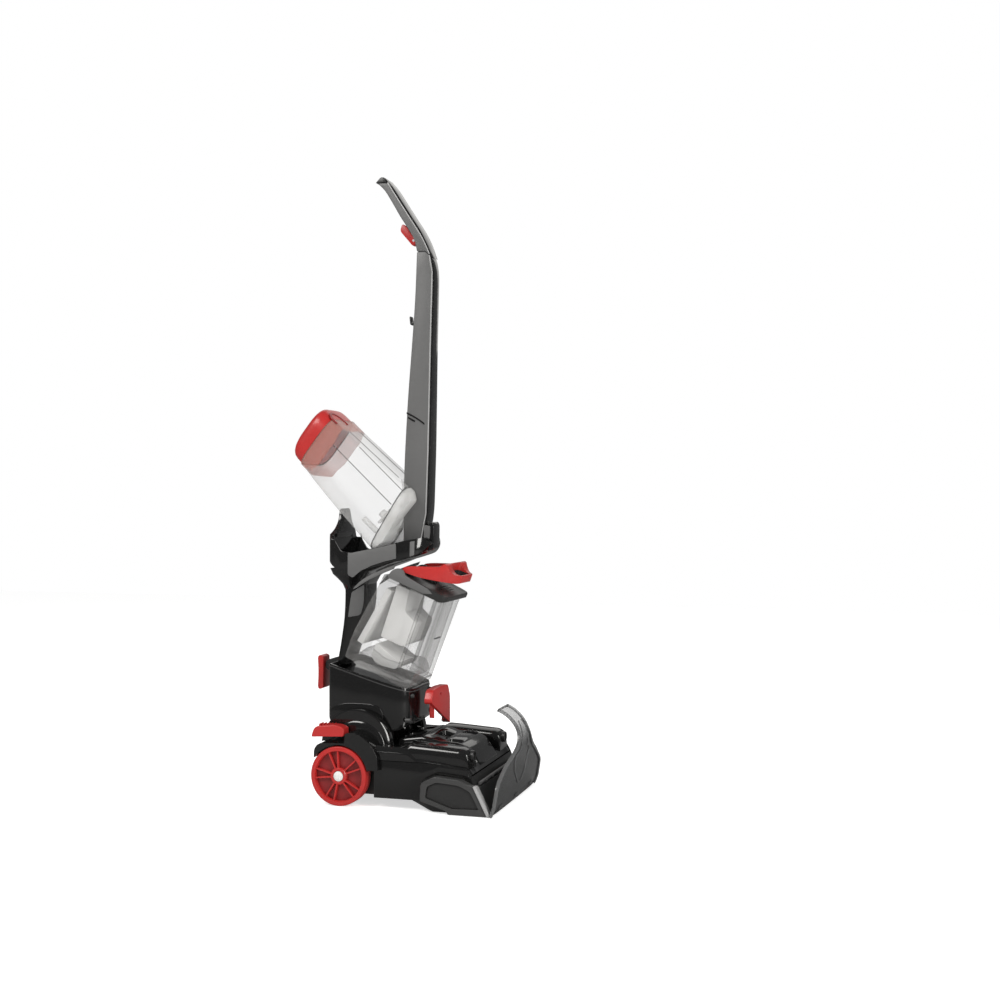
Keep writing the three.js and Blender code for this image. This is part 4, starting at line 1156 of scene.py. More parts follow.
@dataclass
class Controls(SubAssembly):
    """Foot pedals and the latch over the nozzle's neck."""

    def build(self) -> None:
        """Makes both pedals and the latch."""
        right = self.pedal()
        left = self.bench.copy(right, MIRROR_Y)
        self.bench.piece(right, "pedal_right", Look.RED, "power_pedal_body", ["power_pedal"])
        self.bench.piece(left, "pedal_left", Look.RED, "recline_pedal_body", ["recline_pedal"])
        self.bench.piece(self.latch(), "latch_plate", Look.RED, "latch", ["nozzle_latch"])

    def pedal(self) -> bpy.types.Object:
        """Tapered pedal with a rounded lip and ribs on its tread."""
        rings = []
        for y, shrink in (
            (-129.0, 1.6), (-127.6, 0.0), (-112.0, 0.0), (-104.0, 0.8), (-102.6, 2.2),
        ):
            outline = rounded([
                (-51 + shrink, 116 + shrink * 0.5, 4), (-34, 117 + shrink * 0.4, 4),
                (9.4 - shrink, 119.5, 2), (9.4 - shrink, 133 - shrink, 3),
                (-4, 138.4 - shrink, 8), (-45 + shrink, 134.5 - shrink, 9),
            ])
            rings.append([(x, y, z) for x, z in outline])
        body = self.bench.loft(rings)
        ribs = [
            self.bench.plate(box_corners(x, x + 2.2, -124, -107, 1), 126, 138.6, "Z", 0.4)
            for x in (-38, -32, -26, -20, -14)
        ]
        return self.bench.weld(body, *ribs)

    def latch(self) -> bpy.types.Object:
        """Latch plate with sloping shoulders, a notch, a hole and a turned-in rim."""
        face = mirrored([(52, 120, 3), (52, 171, 8), (40, 191.5, 6), (0, 193.5)])[:-1]
        body = self.bench.plate(face, 127.4, 141.5, "X", 2.2, 3)
        notch = self.bench.plate(mirrored([(17, 112), (14, 131, 5)]), 120, 150, "X")
        hollow = self.bench.plate(
            mirrored([(46, 126, 3), (46, 168, 6), (36, 185, 6)]), 120, 136.4, "X")
        hole = self.bench.turned([(120, 0), (120, 2.6), (150, 2.6), (150, 0)], 0, 180, "X", 24)
        self.bench.carve(body, notch, hollow, hole)
        pads = [self.bench.plate(box_corners(y, y + 4, 140, 178, 1.5), 129, 137, "X", 0.5)
                for y in (-26, 22)]
        return self.bench.weld(body, *pads)


@dataclass
class Nozzle(SubAssembly):
    """Smoked front nozzle: a curved sheet with a pale flange, tipped forward.

    Attributes:
        tilt: degrees forward of its clipped place.
        edge: lower edge as (x, z).
        line: stations as (x, z, half width), drawn in the clipped place.
    """

    tilt: float = 38.0
    edge: Point = (276.5, 0.6)
    line: Sequence[tuple[float, float, float]] = (
        (276.5, 0.6, 141.8), (275.6, 5.0, 141.8), (271.5, 17.5, 141.8), (264.0, 31.2, 141.8),
        (258.8, 40.6, 141.2), (254.6, 47.0, 137.5), (249.6, 53.5, 128.0), (244.6, 61.6, 112.5),
        (240.0, 70.0, 96.0), (237.0, 77.5, 77.0), (234.0, 85.0, 60.0), (230.2, 92.6, 46.5),
        (225.5, 99.5, 38.5), (220.0, 105.0, 33.4), (213.5, 109.8, 30.5), (206.0, 113.8, 29.6),
        (198.0, 116.6, 29.6), (188.0, 118.5, 29.6), (178.0, 118.9, 29.6), (169.0, 117.8, 29.7),
        (160.6, 115.8, 29.8),
    )

    def build(self) -> None:
        """Makes the nozzle's pieces."""
        place = Place(*self.edge, self.tilt, self.edge)
        self.bench.piece(
            self.sheet(), "nozzle_sheet", Look.NOZZLE_SMOKE, "nozzle", ["front_nozzle"], place)
        self.bench.piece(self.flange(), "nozzle_flange", Look.SMOKE_RIM, "nozzle", place=place)
        self.bench.piece(self.lip(), "nozzle_lip", Look.SATIN_BLACK, "nozzle", place=place)
        self.bench.piece(self.ribs(), "nozzle_ribs", Look.SMOKE_RIM, "nozzle", place=place)

    def normal(self, i: int) -> Vector:
        """Outward normal of the sheet at a station."""
        before = self.line[max(i - 1, 0)]
        after = self.line[min(i + 1, len(self.line) - 1)]
        return Vector((after[1] - before[1], 0, before[0] - after[0])).normalized()

    def sheet(self) -> bpy.types.Object:
        """Curved sheet, 2.4 mm thick, crowned across its width."""
        columns = 25
        rings = []
        for i, (x, z, half) in enumerate(self.line):
            normal = self.normal(i)
            ring = []
            for j in range(columns):
                t = -1 + 2 * j / (columns - 1)
                crown = -1.6 * t ** 4 - 0.9
                ring.append(tuple(Vector((x, half * t, z)) + normal * crown))
            rings.append(ring)
        sheet = self.bench.loft(rings, closed=False, capped=False)
        middle = len(sheet.data.polygons) // 2
        outward = sheet.data.polygons[middle].normal.dot(self.normal(len(self.line) // 2)) > 0
        self.bench.modify(sheet, "SOLIDIFY", thickness=2.4, offset=-1.0 if outward else 1.0)
        return sheet

    def flange(self) -> bpy.types.Object:
        """Thick flange along both side edges and round the neck."""
        sides = []
        for side in (-1, 1):
            border = [Vector((x, side * half, z)) for x, z, half in self.line]
            rings = []
            for i, point in enumerate(border):
                normal = self.normal(i)
                run = border[min(i + 1, len(border) - 1)] - border[max(i - 1, 0)]
                inward = normal.cross(run).normalized()
                if inward.y * side > 0:
                    inward.negate()
                top, low = point + normal * 0.3, point - normal * 5.0
                rings.append([tuple(p) for p in (
                    top, low, low + inward * 2.2, point - normal * 2.0 + inward * 3.6,
                    top + inward * 5.6,
                )])
            sides.append(self.bench.loft(rings, bevel=0.5))
        x, z, half = self.line[-1]
        mouth = self.bench.plate(
            mirrored([(half, z - 5.0, 1), (half, z + 0.5, 1)]), x - 0.2, x + 3.2, "X", 0.6)
        hole = self.bench.plate(
            mirrored([(half - 3.4, z - 9.0, 1), (half - 3.4, z - 2.4, 1)]), x - 5, x + 9, "X")
        self.bench.carve(mouth, hole)
        return self.bench.gather(*sides, mouth)

    def lip(self) -> bpy.types.Object:
        """Rounded bead behind the lower edge."""
        x, z = self.edge
        bead = self.bench.turned(
            [(-120.4, 0), (-120.4, 5.0), (-119.4, 5.8), (119.4, 5.8), (120.4, 5.0), (120.4, 0)],
            x, z, sides=48)
        return self.bench.common(
            bead, self.bench.plate(box_corners(x - 8, x - 2.2, z, z + 8), -130, 130))

    def ribs(self) -> bpy.types.Object:
        """Raised suction channel in the middle and short ribs on the lower edge."""
        parts = []
        for y in (-104, -96, -88, -8, 0, 8, 88, 96, 104):
            parts.append(self.bench.plate(
                [(275.4, 5), (276.4, 5), (274.0, 14.0), (272.6, 14.0)], y - 0.7, y + 0.7))
        first, bend, last = 3, 10, 16
        for side in (-1, 1):
            rings = []
            for i, (x, z, half) in enumerate(self.line):
                if not first <= i <= last:
                    continue
                share = math.sin((i - first) / (last - first) * math.pi) ** 0.7
                y = side * min(half - 7, between(8, 44 if i < bend else 21, share))
                base = Vector((x, y, z)) + self.normal(i) * -0.6
                up = self.normal(i) * 1.5
                wide = Vector((0, 1.3, 0))
                rings.append([tuple(p) for p in (
                    base - wide, base + wide, base + wide * 0.5 + up, base - wide * 0.5 + up)])
            parts.append(self.bench.loft(rings))
        return self.bench.gather(*parts)


# ------------------------------------------------------------------ upright, mast and grip


@dataclass
class Upright(SubAssembly):
    """Motor housing, spine and tank shelf, all fixed to one another.

    Attributes:
        pivot: recline pivot as (x, z).
        bottom: the housing's lowest height.
        seat: tray's front edge as (x, z).
        slope: degrees that the tray rises to the rear.
        plan: half of the housing's plan as (y, x, radius).
        shelf_half: half width of the shelf.
    """

    pivot: Point = RECLINE_PIVOT
    bottom: float = 122.0
    seat: Point = (101.0, 191.7)
    slope: float = 17.0
    shelf_half: float = 65.0
    plan: Sequence[tuple[float, float, float]] = (
        (74.8, -43.8, 12), (74.8, 62, 30), (60, 101, 30), (36, 105.6, 20),
    )

    def build(self) -> None:
        """Makes the upright's pieces."""
        piece = self.bench.piece
        piece(self.housing(), "housing_shell", Look.GLOSS_BLACK, "upright", ["motor_housing"])
        # Painted highlight: lighter band along the housing's top edge.
        piece(self.housing_rim(), "housing_rim", Look.GUARD_GRAY, "upright")
        self.pair(self.side_panel, "housing_panel", Look.GLOSS_BLACK, "upright")
        self.pair(self.pivot_cap, "pivot_cap", Look.SATIN_BLACK, "upright", "trunnion")
        piece(self.rear_cover(), "housing_back", Look.SATIN_BLACK, "upright",
              ["housing_rear_cover"])
        self.pair(self.screw, "housing_screw_head", Look.GUARD_GRAY, "upright", "housing_screw")
        self.pair(self.front_pin, "front_pin", Look.GUARD_GRAY, "upright")
        piece(self.spine(), "spine_column", Look.GLOSS_BLACK, "upright", ["spine"])
        self.pair(self.spine_panel, "spine_panel", Look.MID_GRAY, "upright")
        piece(self.shelf(), "shelf_tray", Look.GLOSS_BLACK, "upright", ["tank_shelf"])
        self.pair(self.shelf_band, "shelf_band", Look.MID_GRAY, "upright")
        self.pair(self.shelf_arch, "shelf_arch", Look.MID_GRAY, "upright")
        self.pair(self.band_end, "shelf_strip", Look.MID_GRAY, "upright")
        piece(self.skirt(), "shelf_skirt", Look.GLOSS_BLACK, "upright")
        piece(self.nose(), "shelf_nose", Look.GLOSS_BLACK, "upright")
        piece(self.nose_cheeks(), "shelf_nose_cheeks", Look.MID_GRAY, "upright")

    def tray_z(self, x: float) -> float:
        """Height of the sloping tray."""
        return self.seat[1] + (self.seat[0] - x) * math.tan(math.radians(self.slope))

    def plan_plate(self, inset: float, low: float, high: float) -> bpy.types.Object:
        """Upright block with the housing's rounded plan.

        Args:
            inset: how far it is drawn in.
            low: its bottom.
            high: its top.

        Returns:
            The block.
        """
        outline = []
        for y, x, radius in self.plan:
            outline.append((x + (inset if x < 0 else -inset), y - inset, max(radius - inset, 2)))
        outline += [(x, -y, radius) for x, y, radius in reversed(outline)]
        return self.bench.plate(outline, low, high, "Z")

    def housing(self) -> bpy.types.Object:
        """Block with a rounded plan, sloping top, sunk tray and round pivot cheeks."""
        side = [
            (-43.8, 140, 8), (-20, self.bottom, 10), (30, self.bottom), (86, self.bottom, 10),
            (105.6, 134, 8), (105.6, self.tray_z(105) + 3, 4), (92, self.tray_z(92) + 2.5, 8),
            (-43.8, self.tray_z(-43.8) + 1.2, 6),
        ]
        body = self.bench.plate(side, -90, 90)
        self.bench.common(body, self.plan_plate(0, 100, 280))
        tray = self.plan_plate(5.5, 100, 320)
        floor = [(-60, self.tray_z(-60) - 7), (115, self.tray_z(115) - 7), (115, 320), (-60, 320)]
        self.bench.common(tray, self.bench.plate(floor, -90, 90))
        self.bench.carve(body, tray)
        self.bench.bevel(body, 1.6, 3)
        cheeks = []
        for side in (-1, 1):
            profile = [(side * 60.6, 0), (side * 60.6, 36), (side * 62, 37.6),
                       (side * 73, 37.6), (side * 74.6, 36), (side * 74.6, 0)]
            cheeks.append(self.bench.turned(profile, *self.pivot, sides=64))
        return self.bench.gather(body, *cheeks)

    def housing_rim(self) -> bpy.types.Object:
        """Painted highlight: lighter band round the top edge of the housing, standing for the
        highlight along that edge.
        """
        ring = self.plan_plate(-0.5, 100, 300)
        self.bench.carve(ring, self.plan_plate(1.6, 90, 310))
        band = [(x, self.tray_z(x) + z) for x, z in
                ((-60, -3.2), (115, -3.2), (115, -1.4), (-60, -1.4))]
        return self.bench.common(ring, self.bench.plate(band, -90, 90))

    def side_panel(self) -> bpy.types.Object:
        """Raised lower panel with a rounded upper edge."""
        outline = [(-38, 142, 6), (-38, 158, 8), (-14, 168.5, 16), (42, 169, 20), (60, 160, 14),
                   (62, 138, 8), (48, 131, 20), (-20, 134, 12)]
        return self.bench.plate(outline, -76.2, -73.6, bevel=1.1, segments=3)

    def pivot_cap(self) -> bpy.types.Object:
        """Round pivot boss with a stepped face."""
        return self.bench.turned(
            [(-91.8, 0), (-91.8, 12), (-90.6, 13.4), (-90.2, 24), (-91.2, 26), (-91.2, 38),
             (-88.6, 41.2), (-77.4, 41.8), (-76.2, 40.6), (-76.2, 0)], *self.pivot, sides=72)

    def rear_cover(self) -> bpy.types.Object:
        """Back cover with a row of air slots."""
        body = self.bench.plate(box_corners(-57.6, 57.6, 130.4, 219, 12), -47.8, -44.4, "X", 1.2)
        slots = [
            self.bench.plate(box_corners(y, y + 34, z, z + 3, 1.4), -49, -46.4, "X")
            for z in (146, 153, 160, 167, 174) for y in (-42, 8)
        ]
        return self.bench.carve(body, *slots)

    def screw(self) -> bpy.types.Object:
        """Round screw head with a crossed recess."""
        head = self.bench.turned(
            [(97, 0), (97, 4.4), (106.2, 4.4), (107.1, 3.2), (107.3, 0)], -60, 140, "X", 32)
        bars = [self.bench.plate(box_corners(-60 - a, -60 + a, 140 - b, 140 + b), 106.2, 109, "X")
                for a, b in ((2.6, 0.5), (0.5, 2.6))]
        return self.bench.carve(head, *bars)

    def front_pin(self) -> bpy.types.Object:
        """Small rounded pin on the housing's front, above the latch."""
        return self.bench.turned(
            [(101, 0), (101, 3.6), (106.6, 3.6), (107.6, 2.4), (107.9, 0)], -46, 181, "X", 24)

    def spine(self) -> bpy.types.Object:
        """Curved column from the housing to the shelf."""
        outline = [
            (-43.6, 228), (-43, 240, 6), (-38.6, 262, 10), (-30.8, 312, 20), (-28.8, 360, 20),
            (-31.6, 402), (9.8, 402), (8.8, 340, 20), (2.8, 312, 20), (-16.2, 270, 20),
            (-28.6, 234, 8), (-28.6, 228),
        ]
        body = self.bench.plate(outline, -29.8, 29.8, bevel=3.2, segments=3)
        duct = self.bench.plate(
            [(-34, 262, 4), (-27, 312, 12), (-24, 360, 12), (-26, 392, 4), (-40, 392), (-46, 262)],
            -12, 12)
        return self.bench.carve(body, duct)

    def spine_panel(self) -> bpy.types.Object:
        """Dull side panel let into the column."""
        outline = [(-23.4, 313.6, 2), (-20.4, 336, 20), (-16.4, 358.6, 3), (7.6, 372.6, 2),
                   (7.4, 344, 20), (2.4, 322, 10), (-2, 317.6, 3)]
        return self.bench.plate(outline, -30.4, -28, bevel=0.5)

    def shelf_plan(self, inset: float, low: float, high: float) -> bpy.types.Object:
        """Block with the shelf's rounded plan.

        Args:
            inset: how far it is drawn in.
            low: its bottom.
            high: its top.

        Returns:
            The block.
        """
        half = self.shelf_half - inset
        corners = [(-61 + inset, 20, 12), (-51 + inset, 46, 14), (-44 + inset, half, 10),
                   (88, half, 40), (124 - inset, 44, 24), (134.6 - inset, 20, 16)]
        return self.bench.plate(
            [*corners, *((x, -y, r) for x, y, r in reversed(corners))], low, high, "Z")

    def shelf(self) -> bpy.types.Object:
        """Boat-shaped tray with a sunk well, a rear tab that backs the tank and a rounded front."""
        body = self.bench.plate([
            (-61, 428, 6), (-59, 450, 6), (-46.5, 467, 6), (-44, 482, 6), (-44, 507.6, 2.5),
            (-38.6, 507.6, 2), (-37, 470), (-35, 451.6, 4), (-23, 431.8, 6), (-2, 431),
            (24, 436.2), (59, 443.4), (93, 452), (123, 457.6, 2), (133.6, 447.5, 4),
            (118, 428.6, 10), (72, 414.8, 10), (40, 412.2, 10), (14, 401, 4), (-31.6, 401, 8),
        ], -66, 66)
        self.bench.common(body, self.shelf_plan(0, 380, 540))
        well = self.bench.plate(
            [(-39, 540), (-39, 466), (-42.5, 456), (-45, 417, 6), (10, 421, 10), (60, 432, 8),
             (71, 446), (71, 540)],
            -self.shelf_half + 4.4, self.shelf_half - 4.4)
        beside = [(70, 451.5), (57, 455, 6), (44, 466, 10), (32, 477, 14), (23, 490, 10),
                  (20, 503, 6), (13, 508.4, 6), (0, 509.4), (0, 560), (70, 560)]
        sides = [self.bench.plate([(s * y, *rest) for y, *rest in beside], -90, -36, "X")
                 for s in (-1, 1)]
        self.bench.carve(body, well, *sides)
        self.bench.bevel(body, 1.3, 2)
        return body

    def skirt(self) -> bpy.types.Object:
        """Hollow neck that draws the tray in to the column, arched at the sides."""
        rings = []
        for low_z, top_z, rear, front, half in (
            (402.5, 424, -46, 96, 63.6), (392, 410, -42, 62, 61), (384, 398, -36, 30, 54),
            (374, 386, -31.5, 14, 42), (362, 372, -30.6, 9.6, 31.2),
        ):
            corners = [(rear, -half, 10), (front, -half, 10), (front, half, 10), (rear, half, 10)]
            rings.append([(x, y, between(low_z, top_z, (x - rear) / (front - rear)))
                          for x, y in rounded(corners)])
        body = self.bench.loft(rings)
        self.bench.carve(body, self.bench.plate(
            [(14, 340), (20, 376, 20), (52, 391, 30), (78, 402), (78, 470), (140, 470),
             (140, 340)], -90, 90))
        self.bench.bevel(body, 1.2, 2)
        return body

    def shelf_band(self) -> bpy.types.Object:
        """Dull band along the side of the shelf, running down to a point at the rear."""
        outline = [(-9.4, 392, 3), (-9.2, 430.4, 2), (-2, 430.2), (24, 435.4), (59, 442.6),
                   (80.6, 447.6, 2), (81.2, 421.4, 2), (58.9, 416), (34, 408), (15, 399),
                   (-0.6, 386.6, 3)]
        return self.bench.plate(outline, -self.shelf_half - 0.7, -self.shelf_half + 1.6, bevel=0.5)

    def band_end(self) -> bpy.types.Object:
        """Short upright strip ahead of the band."""
        outline = [(103.4, 450.6, 1), (110.6, 451.8, 1), (110, 427.6, 1), (103, 424.6, 1)]
        strip = self.bench.plate(outline, -70, -30)
        inner = self.shelf_plan(-0.5, 380, 540)
        self.bench.common(strip, inner)
        self.bench.carve(strip, self.shelf_plan(1.4, 370, 550))
        return strip

    def shelf_arch(self) -> bpy.types.Object:
        """Curved lower edge strip from the tray's front down to the column."""
        path = [(-1.6, 365.9, 10), (13.9, 381.5, 16), (33, 392.5, 20), (57.8, 402.8, 20),
                (80, 409.8)]
        lower = [(4.2, 367.8, 8), (25.4, 381.7, 16), (52.1, 393.8, 20), (76, 403.2)]
        return self.bench.plate([*path, *reversed(lower)], -self.shelf_half + 0.4,
                                -self.shelf_half + 4.0, bevel=0.5)

    def nose(self) -> bpy.types.Object:
        """Clip at the mast's foot with a rounded front."""
        outline = [(113, 431, 3), (133.0, 436, 4), (133.7, 479.6, 5), (129.4, 485.4, 4),
                   (120.5, 477, 2)]
        return self.bench.plate(outline, -17, 17, bevel=2.2, segments=3)

    def nose_cheeks(self) -> bpy.types.Object:
        """Dull side plates of the clip."""
        outline = [(115.5, 478.8, 1), (127.6, 477.4, 2), (127.6, 466.6), (122.4, 432, 2),
                   (117, 431.6, 1)]
        return self.bench.plate(outline, -20.6, 20.6, bevel=0.8)


@dataclass
class MastAndGrip(SubAssembly):
    """Hollow mast with its front cover, the bent grip, the trigger and both cord hooks.

    Attributes:
        half: half width of the mast.
        grip_half: half width of the grip.
        rear: the mast's rear line from the shelf up.
        seam: line where the front cover starts.
        front: the cover's front line.
    """

    half: float = 20.3
    grip_half: float = 17.8
    rear: Sequence[Point] = (
        (78.2, 447.6), (79.2, 576), (85.8, 700), (91.4, 771), (99.4, 876), (102.4, 961.6))
    seam: Sequence[Point] = (
        (118, 961.6), (126.2, 954.4), (131.4, 925), (128.0, 791), (124.4, 612), (120.6, 500),
        (110.6, 447.6))
    front: Sequence[Point] = (
        (113.4, 447.6), (123.4, 500), (127.2, 612), (130.5, 791), (134.2, 925), (129.8, 950.6))

    def build(self) -> None:
        """Makes the pieces."""
        piece = self.bench.piece
        piece(self.mast(), "mast_column", Look.MID_GRAY, "upright", ["mast"])
        piece(self.cover(), "mast_cover", Look.GLOSS_BLACK, "upright", ["mast_trim"])
        # Painted highlight along the joint of the mast and its cover.
        self.pair(self.mast_joint_highlight, "mast_seam", Look.EDGE_GRAY, "upright")
        self.pair(self.split_line, "mast_split", Look.GLOSS_BLACK, "upright")
        piece(self.grip(), "grip_handle", Look.MID_GRAY, "upright", ["grip_body"])
        piece(self.grip_top(), "grip_top", Look.GLOSS_BLACK, "upright", ["grip_cover"])
        # Painted highlight along the joint of the grip's two shells.
        self.pair(self.grip_joint_highlight, "grip_seam", Look.EDGE_GRAY, "upright")
        piece(self.grip_tip(), "grip_tip", Look.SATIN_BLACK, "upright", ["grip_end"])
        piece(self.trigger(), "trigger_blade", Look.RED, "spray_trigger", ["trigger"])
        piece(self.upper_hook(), "hook_upper", Look.SATIN_BLACK, "upright", ["upper_cord_hook"])
        piece(self.hook_arm(), "hook_arm", Look.SATIN_BLACK, "upright", ["cord_hook_arm"])
        piece(self.hook(), "hook_lower", Look.RED, "lower_cord_hook", ["cord_hook"])

    def mast(self) -> bpy.types.Object:
        """Tapered column with rounded rear edges."""
        outline = [*((x, z, 40 if 0 < i < 5 else 0) for i, (x, z) in enumerate(self.rear)),
                   *((x, z, 20 if 1 < i < 6 else 0) for i, (x, z) in enumerate(self.seam))]
        body = self.bench.plate(outline, -self.half, self.half)
        face = [(-20.3, 440), (-20.3, 600), (-17.8, 962)]
        face += [(-y, z) for y, z in reversed(face)]
        self.bench.common(body, self.bench.plate(face, 60, 150, "X"))
        self.bench.bevel(body, 1.6, 3)
        return body

    def cover(self) -> bpy.types.Object:
        """Front cover with a rounded face, narrower towards the grip."""
        back = [(x - 0.6, z, 20) for x, z in self.seam[1:]]
        outline = [*back, *((x, z, 20) for x, z in self.front)]
        body = self.bench.plate(outline, -self.half, self.half)
        face = [(-17.4, 440), (-17.4, 560, 400), (-13.6, 900, 400), (-13.2, 960)]
        face += [(-y, *rest) for y, *rest in reversed(face)]
        self.bench.common(body, self.bench.plate(face, 90, 150, "X"))
        self.bench.bevel(body, 1.8, 3)
        return body

    def mast_joint_highlight(self) -> bpy.types.Object:
        """Painted highlight: thin light strip between the column and its cover, standing for the
        highlight along their joint.
        """
        half = [between(20.5, 18.0, (z - 600) / 362) for _, z in self.seam[1:]]
        rings = [[(x - 1.3, -y, z), (x + 0.3, -y, z), (x + 0.3, -y + 2.4, z),
                  (x - 1.3, -y + 2.4, z)] for (x, z), y in zip(self.seam[1:], half)]
        return self.bench.loft(rings)

    def split_line(self) -> bpy.types.Object:
        """Stepped joint between the mast's two lengths."""
        first = self.bench.plate(
            [(84.4, 678.4), (94, 674), (108, 665.8), (117.6, 658.6), (117.6, 655.4),
             (108, 662.8), (94, 671), (84.2, 675.4)], -self.half - 0.35, -self.half + 1.2)
        second = self.bench.plate(
            [(87, 670.4), (100, 663.6), (100, 661), (96, 662), (87, 667.6)],
            -self.half - 0.35, -self.half + 1.2)
        return self.bench.gather(first, second)

    def grip(self) -> bpy.types.Object:
        """Grip's lower shell, running on from the mast."""
        split = [(112.4, 987.8, 24), (84.4, 1029.6, 20), (53.4, 1077.4, 14), (47, 1087.4)]
        outline = [(102.4, 962.4), (98.2, 984, 16), (80.3, 1012, 16), (71.3, 1025, 10),
                   (56.3, 1051, 20), (41.4, 1075, 10), (28, 1087.4), *reversed(split),
                   (125.6, 955.4), (118, 962.4)]
        return self.bench.plate(outline, -self.grip_half, self.grip_half, bevel=1.6, segments=3)

    def grip_top(self) -> bpy.types.Object:
        """Grip's upper cover, running on from the mast's cover."""
        outline = [(126.6, 955.2), (113.2, 988.2, 24), (85.2, 1030.0, 20), (54.2, 1077.8, 14),
                   (47.6, 1088.2), (42.4, 1096.6, 2), (57, 1080, 14), (87.8, 1032, 20),
                   (115.8, 990, 24), (129.6, 951.6)]
        return self.bench.plate(outline, -self.grip_half + 0.3, self.grip_half - 0.3, bevel=1.0,
                                segments=3)

    def grip_joint_highlight(self) -> bpy.types.Object:
        """Painted highlight: thin light strip between the grip's two shells, standing for the
        highlight along their joint.
        """
        inner = [(125.2, 956.4), (111.6, 987.2, 24), (83.6, 1029.2, 20), (52.8, 1077, 14),
                 (46.6, 1087)]
        outer = [(x + 1.5, z + 0.9, r) for x, z, r in ((p + (0,))[:3] for p in reversed(inner))]
        return self.bench.plate([*inner, *outer], -self.grip_half - 0.2, -self.grip_half + 1.6)

    def grip_tip(self) -> bpy.types.Object:
        """Cap at the grip's end."""
        outline = [(24.4, 1088.3), (46, 1088.3), (40, 1097.8, 2), (33.4, 1097.8, 2)]
        return self.bench.plate(outline, -self.grip_half, self.grip_half, bevel=1.0)

    def trigger(self) -> bpy.types.Object:
        """Curved finger trigger."""
        outline = [(90.4, 974.6, 3), (66.3, 1002.6, 5), (70.6, 1015.8, 5), (79.8, 1009.6, 3),
                   (88, 995, 12), (97.6, 986, 3), (99.4, 978, 3)]
        return self.bench.plate(outline, -6.4, 6.4, bevel=1.5, segments=3)

    def upper_hook(self) -> bpy.types.Object:
        """Small cord clip on the mast's rear."""
        outline = [(95.4, 833, 1), (86, 834, 3), (84.4, 849, 2), (87, 849.6, 1), (88.6, 838, 2),
                   (95.4, 839.6, 1)]
        return self.bench.plate(outline, -6.8, 6.8, bevel=0.8)

    def hook_arm(self) -> bpy.types.Object:
        """Arm that carries the lower hook."""
        outline = [(-48.4, 206.4, 2), (-70, 215, 5), (-75.8, 219, 3), (-75.8, 231, 3),
                   (-66, 236, 6), (-48.4, 240.6, 2)]
        return self.bench.plate(outline, -9, 9, bevel=2.2, segments=3)

    def hook(self) -> bpy.types.Object:
        """Turning bar with rounded ends and a finger groove."""
        outline = [(-88.8, 184, 4), (-85.6, 180.4, 3), (-78, 183, 3), (-77.6, 212, 8),
                   (-78, 240, 3), (-85.6, 242.6, 3), (-88.8, 239, 4), (-87.4, 212, 20)]
        body = self.bench.plate(outline, -14.6, 14.6, bevel=2.4, segments=3)
        groove = self.bench.plate(box_corners(-5, 5, 196, 228, 4), -95, -87, "X")
        return self.bench.carve(body, groove)


# ------------------------------------------------------------------ tanks


